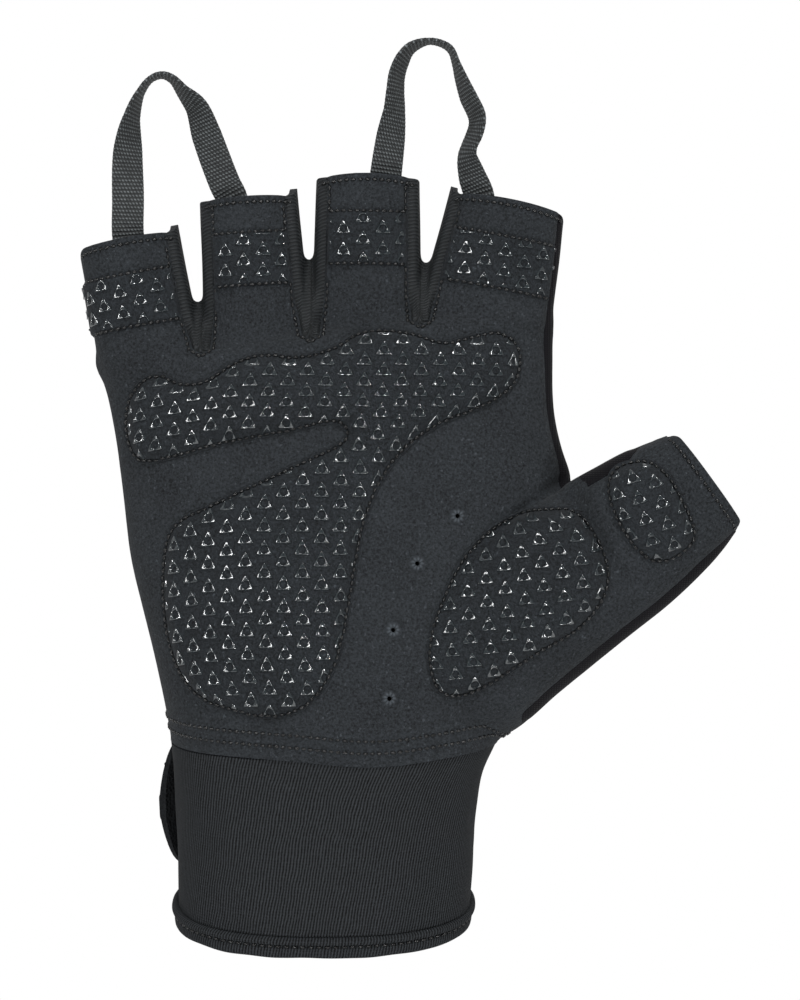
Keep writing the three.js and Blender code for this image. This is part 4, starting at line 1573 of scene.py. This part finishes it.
def gusset_rows(skin, i):
    """The rows down both sides of a gusset's V."""
    outline = inset(slot_outline(i)[::-1], -GUSSET_SEAM)[::-1]
    low, right_foot, right_bend, right_top, left_top, left_bend, left_foot = outline
    sides = (
        (FINGERS[i + 1], right_top, right_bend, right_foot),
        (FINGERS[i], left_top, left_bend, left_foot),
    )
    for finger, end, bend, foot in sides:
        _, tip, _, _, _ = finger_frame(finger)
        short = bend + (end - bend) * (tip[2] - 1.8 - bend[1]) / (end[1] - bend[1])
        line = [np.linspace(short, bend, 20), np.linspace(bend, foot, 12), [low]]
        yield skin, front_path(skin, np.concatenate(line)), False, 0.0


def make_stitches():
    hand_skin()
    skin = shared["skin_tree"]
    for name in PADS:
        bed = surface_tree(*shared["print beds"][name])
        path = front_path(bed, inset(pad_outline(name), PAD_SEAM))
        sew("stitches_" + name, [(bed, path, True, 0.2)])
    sew("stitches_finger_bands", [row for finger in FINGERS for row in band_rows(finger)])
    sew("stitches_finger_ends", end_rows(skin))
    sew("stitches_wrist_seam", wrist_rows(skin), WRIST_PITCH)
    sew("stitches_gusset_seams", [row for i in range(3) for row in gusset_rows(skin, i)])


def inset(outline, distance):
    """Moves each point of a clockwise outline inwards."""
    outline = np.asarray(outline, float)
    along = np.roll(outline, -1, axis=0) - np.roll(outline, 1, axis=0)
    along /= np.linalg.norm(along, axis=1, keepdims=True)
    return outline + np.stack([along[:, 1], -along[:, 0]], 1) * distance


# Cuff, hem and strap


def band_mesh(levels, around):
    """The outer skin of a ring of cloth from (height, out) levels, and its surface coords."""
    angles = ring_angles(around)
    rings = [cuff_points(np.full(around, height), angles, out) for height, out in levels]
    points = np.concatenate(rings)
    triangles = halved(ring_quads(around, len(levels)))
    step = np.linalg.norm(np.roll(rings[0], -1, axis=0) - rings[0], axis=1)
    run = np.concatenate([[0], np.cumsum(step)[:-1]])
    coords = np.concatenate([np.stack([run, np.full(around, height)], 1) for height, _ in levels])
    return (points, normals_of(points, triangles), triangles), coords


def make_cuff():
    levels = [(height, 0.0) for height in np.linspace(HEM_DEPTH + 0.06, CUFF_LENGTH - 0.3, 52)]
    levels += [(CUFF_LENGTH - 0.05, -0.7), (CUFF_LENGTH + 0.2, -1.6), (CUFF_LENGTH + 1.8, -1.8)]
    (points, normals, faces), coords = band_mesh(levels, 240)
    height = points[:, 2]
    fold = soft_noise(points, (0.07, 0.07, 0.025), (0.16, 0.16, 0.09), 3, 0.5)
    calm = ease((height + 8) / 12) * ease((CUFF_LENGTH - 1 - height) / 6)
    points = points + normals * (fold * 0.45 * calm - 0.12)[:, None]
    skin = (points, normals, faces)
    cloth_piece("wrist_cuff_cloth", skin, CUFF_WALL, "neoprene", "wrist_cuff", coords)


def make_hem():
    profile = (
        (0.0, 0.0), (0.06, 0.34), (0.16, 0.5), (0.34, 0.55), (0.5, 0.42), (0.55, 0.22),
        (0.6, 0.28), (0.66, 0.85), (0.76, 1.2), (0.86, 1.2), (0.95, 0.9), (1.0, 0.4),
    )
    around = 260
    ups = np.linspace(0, 1, 30)
    outs = smooth_rows(profile, ups)[:, 0]
    (points, normals, faces), coords = band_mesh(list(zip(ups * HEM_DEPTH, outs)), around)
    ripple = np.array([noise.noise(Vector((x * 0.12, y * 0.12, 4.0))) for x, y, _ in points])
    points[:, 2] += ripple * np.repeat(1 - ups, around) ** 2 * 0.25
    depth = np.repeat(outs, around)[:, None] + CUFF_WALL - 0.6
    outward = normals * (1, 1, 0)
    outward /= np.linalg.norm(outward, axis=1, keepdims=True)
    cloth_piece("turned_hem", (points, outward, faces), depth, "neoprene", "hem_band", coords)
    ring = cuff_points(np.full(200, HEM_DEPTH * 0.55), ring_angles(200), 0.3)
    sew("stitches_hem", [(surface_tree(points, faces), ring, True, 0.02)], HEM_PITCH)


def make_strap():
    middle = STRAP_BASE + STRAP_WIDTH / 2
    around, tab, across = 60, 26, 24
    stations = [
        (STRAP_START + (STRAP_LIFT - STRAP_START) * i / around, 0.0) for i in range(around)
    ]
    stations += [(STRAP_LIFT, STRAP_TAB * (1 - (1 - i / tab) ** 2)) for i in range(tab + 1)]
    near, far = [], []
    for angle, lift in stations:
        from_end = max(STRAP_TAB - lift, STRAP_BLUNT)
        curve = max(1 - from_end / STRAP_ROUND, 0)
        half = STRAP_WIDTH / 2 * math.sqrt(1 - curve**2)
        shares = np.linspace(-1, 1, across)
        heights = middle + half * shares
        turn = np.full(across, math.radians(angle))
        puff = 1 - 0.55 * np.abs(shares) ** 8
        for rows, grow in ((near, CLEARANCE), (far, CLEARANCE + STRAP_THICKNESS)):
            place = cuff_points(heights, turn, grow)
            before = cuff_points(heights, turn - math.radians(1), grow)
            heading = place - before
            heading /= np.linalg.norm(heading, axis=1, keepdims=True)
            place = place + heading * lift
            if rows is far:
                outward = place[:, :2] / np.linalg.norm(place[:, :2], axis=1)[:, None]
                place[:, :2] -= outward * ((1 - puff) * STRAP_THICKNESS * 0.5)[:, None]
            rows.append(place)
    near, far = np.array(near), np.array(far)
    count = len(stations)
    points = np.concatenate([far.reshape(-1, 3), near.reshape(-1, 3)])
    i, j = np.meshgrid(np.arange(count - 1), np.arange(across - 1), indexing="ij")
    a = (i * across + j).ravel()
    top = np.stack([a, a + across, a + across + 1, a + 1], 1)
    size = count * across
    rim = np.concatenate(
        [
            np.arange(count - 1)[:, None] * across + np.array([[0, across]]),
            np.arange(count - 1)[::-1, None] * across + across - 1 + np.array([[across, 0]]),
            np.stack([np.arange(across - 1) + 1, np.arange(across - 1)], 1),
            (count - 1) * across + np.stack([np.arange(across - 1), np.arange(across - 1) + 1], 1),
        ]
    )
    walls = np.stack([rim[:, 0], rim[:, 1], rim[:, 1] + size, rim[:, 0] + size], 1)
    faces = np.concatenate([top, top[:, ::-1] + size, walls[:, ::-1]])
    obj = mesh_object("closure_strap", points, faces, finish("hook_tape"), sharp=35)
    fix_normals(obj)
    settle(obj, "hook_tape", "wrist_strap")
    tree = surface_tree(far.reshape(-1, 3), halved(top))
    paths = (far[3 : around + 14, 2], far[3 : around + 14, across - 3], far[3, 2 : across - 2])
    sew("stitches_strap", [(tree, path, False, 0.05) for path in paths])


def fix_normals(obj):
    """Joins doubled points and turns all faces outwards."""
    shape = bmesh.new()
    shape.from_mesh(obj.data)
    bmesh.ops.remove_doubles(shape, verts=shape.verts, dist=1e-6)
    bmesh.ops.recalc_face_normals(shape, faces=shape.faces)
    shape.to_mesh(obj.data)
    shape.free()


# Pull loops


def loop_end(finger_index, offset_share):
    """Where a loop is sewn inside a fingertip: place, tilt of the tape and the finger's axis."""
    finger = FINGERS[finger_index]
    _, tip, _, axis, across = finger_frame(finger)
    half = finger_half_width(finger, 1) - WALL
    offset = offset_share * half

    def front(x):
        share = 1 - (abs(x) / half) ** OVAL_POWER
        return (FINGER_DEPTH / 2 - WALL) * share ** (1 / OVAL_POWER)

    left, right = front(offset - WEBBING_WIDTH / 2), front(offset + WEBBING_WIDTH / 2)
    depth = (left + right) / 2 - 3 * CLEARANCE - WEBBING_THICKNESS / 2
    place = tip + across * offset - axis
    place[1] = -depth
    return place, math.atan2(right - left, WEBBING_WIDTH), axis


def centripetal(points, share):
    """A point of the smooth open curve through points, even in count of spans."""
    points = np.asarray(points)
    spans = len(points) - 1
    at = min(max(share, 0), 1) * spans
    i = min(int(at), spans - 1)
    w = at - i
    p1, p2 = points[i], points[i + 1]
    p0 = points[i - 1] if i > 0 else 2 * p1 - p2
    p3 = points[i + 2] if i + 2 < len(points) else 2 * p2 - p1
    d0 = max(np.linalg.norm(p1 - p0) ** 0.5, 1e-4)
    d1 = max(np.linalg.norm(p2 - p1) ** 0.5, 1e-4)
    d2 = max(np.linalg.norm(p3 - p2) ** 0.5, 1e-4)
    t1 = (p1 - p0) / d0 - (p2 - p0) / (d0 + d1) + (p2 - p1) / d1
    t2 = (p2 - p1) / d1 - (p3 - p1) / (d1 + d2) + (p3 - p2) / d2
    t1, t2 = t1 * d1, t2 * d1
    c2 = -3 * p1 + 3 * p2 - 2 * t1 - t2
    c3 = 2 * p1 - 2 * p2 + t1 + t2
    return p1 + t1 * w + c2 * w * w + c3 * w**3


def loop_route(route, first, last):
    """A loop's points from hidden end to hidden end, and the tape's twist at each."""
    start, _, start_axis = loop_end(*first)
    end, _, end_axis = loop_end(*last)
    middle, half = (start + end) / 2, (end - start) / 2
    up = np.array([-half[2], 0, half[0]])
    up /= np.linalg.norm(up)
    places = [middle + half * along + up * rise * LOOP_REACH for along, rise, _ in route]
    twists = [math.radians(twist) for _, _, twist in route]
    hidden = 1 - LOOP_TUCK
    return [start + start_axis * hidden, *places, end + end_axis * hidden], [0.0, *twists, 0.0]


CURVE_STEPS = 1200
TAPE_STEP = 0.22  # length of tape from one ring of points to the next
TAPE_RIB = 0.9


def make_loops():
    across = np.linspace(-1, 1, 9)
    for name, (route, first, last) in PULL_LOOPS.items():
        start_turn, end_turn = loop_end(*first)[1], loop_end(*last)[1]
        places, twists = loop_route(route, first, last)
        spans = len(places) - 1
        curve = np.array(
            [centripetal(places, k / CURVE_STEPS) for k in range(CURVE_STEPS + 1)]
        )
        step = np.concatenate([[0], np.cumsum(np.linalg.norm(np.diff(curve, axis=0), axis=1))])
        total = step[-1]
        lengths = np.linspace(0, total, int(total / TAPE_STEP) + 1)
        shares = np.interp(lengths, step, np.arange(CURVE_STEPS + 1) / CURVE_STEPS)
        rings, coords = [], []
        for length, share in zip(lengths, shares):
            place = centripetal(places, share)
            ahead = centripetal(places, min(share + 0.004, 1))
            behind = centripetal(places, max(share - 0.004, 0))
            along = ahead - behind
            along /= np.linalg.norm(along)
            twist = np.interp(share * spans, np.arange(spans + 1), twists)
            turn = share * end_turn - (1 - share) * start_turn
            flat = np.cross([0, 1, 0], along)
            flat /= np.linalg.norm(flat)
            wide = flat * math.cos(twist) + np.array([0, math.sin(twist), 0])
            angle = turn * math.cos(twist)
            wide = wide * math.cos(angle) + np.cross(along, wide) * math.sin(angle)
            wide /= np.linalg.norm(wide)
            thick = np.cross(wide, along)
            rib = math.sin(2 * math.pi * length / TAPE_RIB)
            half_width = WEBBING_WIDTH / 2 + 0.02 * rib
            half_thick = WEBBING_THICKNESS / 2 - 0.04 + 0.04 * rib
            soft = half_thick * (1 - 0.35 * np.abs(across) ** 6)
            top = place + across[:, None] * half_width * wide + soft[:, None] * thick
            low = place + across[::-1, None] * half_width * wide - soft[::-1, None] * thick
            rings.append(np.concatenate([top, low]))
            u = across * half_width
            coords += [(x, length) for x in (*u, *u[::-1])]
        coords += [(0, 0), (0, total)]
        points, faces = loft_mesh(rings)
        obj = mesh_object("webbing_" + name, points, faces, finish("webbing"), coords, 60)
        fix_normals(obj)
        settle(obj, "webbing", name)


# Stage

LAMPS = (  # name, place in metres, width in metres, power in watts
    ("left window", (-0.44, -0.86, 0.32), 0.24, 4.4),
    ("left lamp", (-0.95, -0.4, 0.1), 0.06, 1.3),
    ("right lamp", (0.8, -0.6, -0.05), 0.06, 2.2),
    ("right top lamp", (0.6, -0.7, 0.6), 0.06, 2.0),
    ("top softbox", (0.1, -0.5, 0.95), 0.16, 4.2),
    ("low lamp", (0.05, -0.7, -0.42), 0.06, 2.1),
)
LAMP_TARGET = Vector((0.018, 0, 0.1))
FLOOR_HALF, FLOOR_LOW = 800, -500  # millimetres
SENSOR = 24
VIEW_PLACE = (0.017857, -0.8, 0.09952)
VIEW_HALF_HEIGHT = 0.11905  # what the camera sees above its axis at the glove, in metres


def studio_world(scene):
    """White surround, dimmer in front of the palm so that the gloss keeps its contrast."""
    world = bpy.data.worlds.new("studio")
    scene.world = world
    world.use_nodes = True
    tree = world.node_tree
    background = tree.nodes["Background"]
    coords = add_node(tree, "ShaderNodeTexCoord").outputs["Generated"]
    depth = add_node(tree, "ShaderNodeSeparateXYZ", {0: coords}).outputs["Y"]
    light = spread(tree, depth, -0.9, 0.2, 0.08, 0.55)
    seen = add_node(tree, "ShaderNodeLightPath").outputs["Is Camera Ray"]
    strength = add_node(
        tree, "ShaderNodeMix", {0: seen, 2: light, 3: 1.0}, data_type="FLOAT"
    ).outputs[0]
    background.inputs[0].default_value = (1, 1, 1, 1)
    tree.links.new(strength, background.inputs[1])


def make_stage():
    scene = bpy.context.scene
    corners = ((-1, -1), (1, -1), (1, 1), (-1, 1))
    points = [(x * FLOOR_HALF, y * FLOOR_HALF, FLOOR_LOW) for x, y in corners]
    floor = link_mesh("floor", points, [(0, 1, 2, 3)])
    floor.data.materials.append(matt_acrylic("matt_acrylic", linear("#f2f2f2")))
    floor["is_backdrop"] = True
    studio_world(scene)
    for name, place, width, power in LAMPS:
        light = bpy.data.lights.new(name, "AREA")
        light.shape = "SQUARE"
        light.size = width
        light.energy = power
        lamp = link_object(name, light)
        lamp.location = place
        lamp.rotation_euler = (LAMP_TARGET - Vector(place)).to_track_quat("-Z", "Y").to_euler()
    camera = bpy.data.cameras.new("camera")
    camera.sensor_fit = "VERTICAL"
    camera.sensor_height = SENSOR
    camera.lens = SENSOR / 2 / (VIEW_HALF_HEIGHT / -VIEW_PLACE[1])
    camera.clip_start = 0.05
    camera.clip_end = 50
    view = link_object("camera", camera)
    view.location = VIEW_PLACE
    view.rotation_euler = (math.pi / 2, 0, 0)
    scene.camera = view
    scene.view_settings.view_transform = "Standard"
    scene.view_settings.look = "None"


# Add-on


def length_value(name, text, default):
    return bpy.props.FloatProperty(
        name=name, description=text, default=default, unit="LENGTH", precision=5
    )


def colour_value(name, text, code):
    return bpy.props.FloatVectorProperty(
        name=name, description=text, default=linear(code), subtype="COLOR", min=0, max=1
    )


class GloveSizes(bpy.types.PropertyGroup):
    skin_step: length_value("Skin Step", "Mesh size of the hand's skin", 0.0008)
    pad_rise: length_value("Pad Rise", "Height of the palm pads above the suede", 0.0021)
    mark_side: length_value("Mark Side", "Side of one printed triangle", 0.0041)
    mark_hole: length_value("Mark Hole", "Diameter of the hole in a printed triangle", 0.00175)
    mark_lift: length_value("Mark Lift", "Height of the printed triangles", 0.0004)
    stitch_pitch: length_value("Stitch Pitch", "Distance between stitches", 0.0016)
    stitch_length: length_value("Stitch Length", "Length of one stitch", 0.00135)
    thread_width: length_value("Thread Width", "Width of the sewing thread", 0.0008)
    vent_radius: length_value("Vent Radius", "Radius of the punched air holes", 0.00055)


class GloveColours(bpy.types.PropertyGroup):
    suede: colour_value("Suede", "Palm suede", "#212427")
    pad_suede: colour_value("Pad Suede", "Suede over the pads", "#1c1f22")
    back_knit: colour_value("Back Knit", "Stretch knit of the back", "#0c0b0f")
    gusset_rib: colour_value("Gusset Rib", "Ribbed binding between the fingers", "#1b1e20")
    silicone_print: colour_value("Print", "Raised silicone print", "#262c2f")
    webbing: colour_value("Webbing", "Pull loops", "#373a3b")
    neoprene: colour_value("Neoprene", "Cuff and hem", "#1b1d1f")
    hook_tape: colour_value("Hook Tape", "Closure strap", "#121416")
    thread: colour_value("Thread", "Sewing thread", "#070809")


def operator(key, label, text, make):
    """The add-on's operator for one group of pieces."""

    def execute(self, context):
        make()
        return {"FINISHED"}

    fields = {"__doc__": text, "bl_idname": "glove." + key, "bl_label": label, "execute": execute}
    return type("GLOVE_OT_" + key, (bpy.types.Operator,), fields)


OPERATORS = tuple(
    operator(*row)
    for row in (
        ("palm", "Suede Palm", "Make the suede palm with its punched air holes", make_palm),
        ("back", "Knit Back", "Make the stretch knit back of the hand", make_back),
        ("gussets", "Ribbed Gussets", "Make the ribbed gussets between the fingers", make_gussets),
        ("pads", "Grip Pads", "Make the padded grip pads", make_pads),
        ("bands", "Finger Bands", "Make the bands across the fingers", make_bands),
        ("prints", "Grip Print", "Print the raised triangles on the pads and bands", make_prints),
        ("cuff", "Wrist Cuff", "Make the wrist cuff", make_cuff),
        ("hem", "Hem", "Make the turned hem with its stitches", make_hem),
        ("strap", "Closure Strap", "Make the closure strap with its stitches", make_strap),
        ("loops", "Pull Loops", "Make the two pull loops of webbing", make_loops),
        ("stitches", "Stitches", "Sew the rows of stitches on the hand", make_stitches),
        ("stage", "Stage", "Set up the floor, lights and camera", make_stage),
    )
)


class GLOVE_PT_panel(bpy.types.Panel):
    bl_label = "Weightlifting Glove"
    bl_idname = "GLOVE_PT_panel"
    bl_space_type = "VIEW_3D"
    bl_region_type = "UI"
    bl_category = "Glove"

    def draw(self, context):
        for group in (context.scene.glove_sizes, context.scene.glove_colours):
            for name in group.__annotations__:
                self.layout.prop(group, name)
        for made in OPERATORS:
            self.layout.operator(made.bl_idname)


CLASSES = (GloveSizes, GloveColours, *OPERATORS, GLOVE_PT_panel)


def register():
    for cls in CLASSES:
        bpy.utils.register_class(cls)
    bpy.types.Scene.glove_sizes = bpy.props.PointerProperty(type=GloveSizes)
    bpy.types.Scene.glove_colours = bpy.props.PointerProperty(type=GloveColours)


def unregister():
    del bpy.types.Scene.glove_sizes
    del bpy.types.Scene.glove_colours
    for cls in reversed(CLASSES):
        bpy.utils.unregister_class(cls)


def main():
    register()
    for made in OPERATORS:
        getattr(bpy.ops.glove, made.bl_idname.split(".")[1])()
    if "stitch" in shared:
        bpy.data.objects.remove(shared.pop("stitch"))
    boxes = {"cad": CAD_BOX, "visual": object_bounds()}
    plain = {key: [[float(v) for v in corner] for corner in box] for key, box in boxes.items()}


if __name__ == "__main__":
    main()
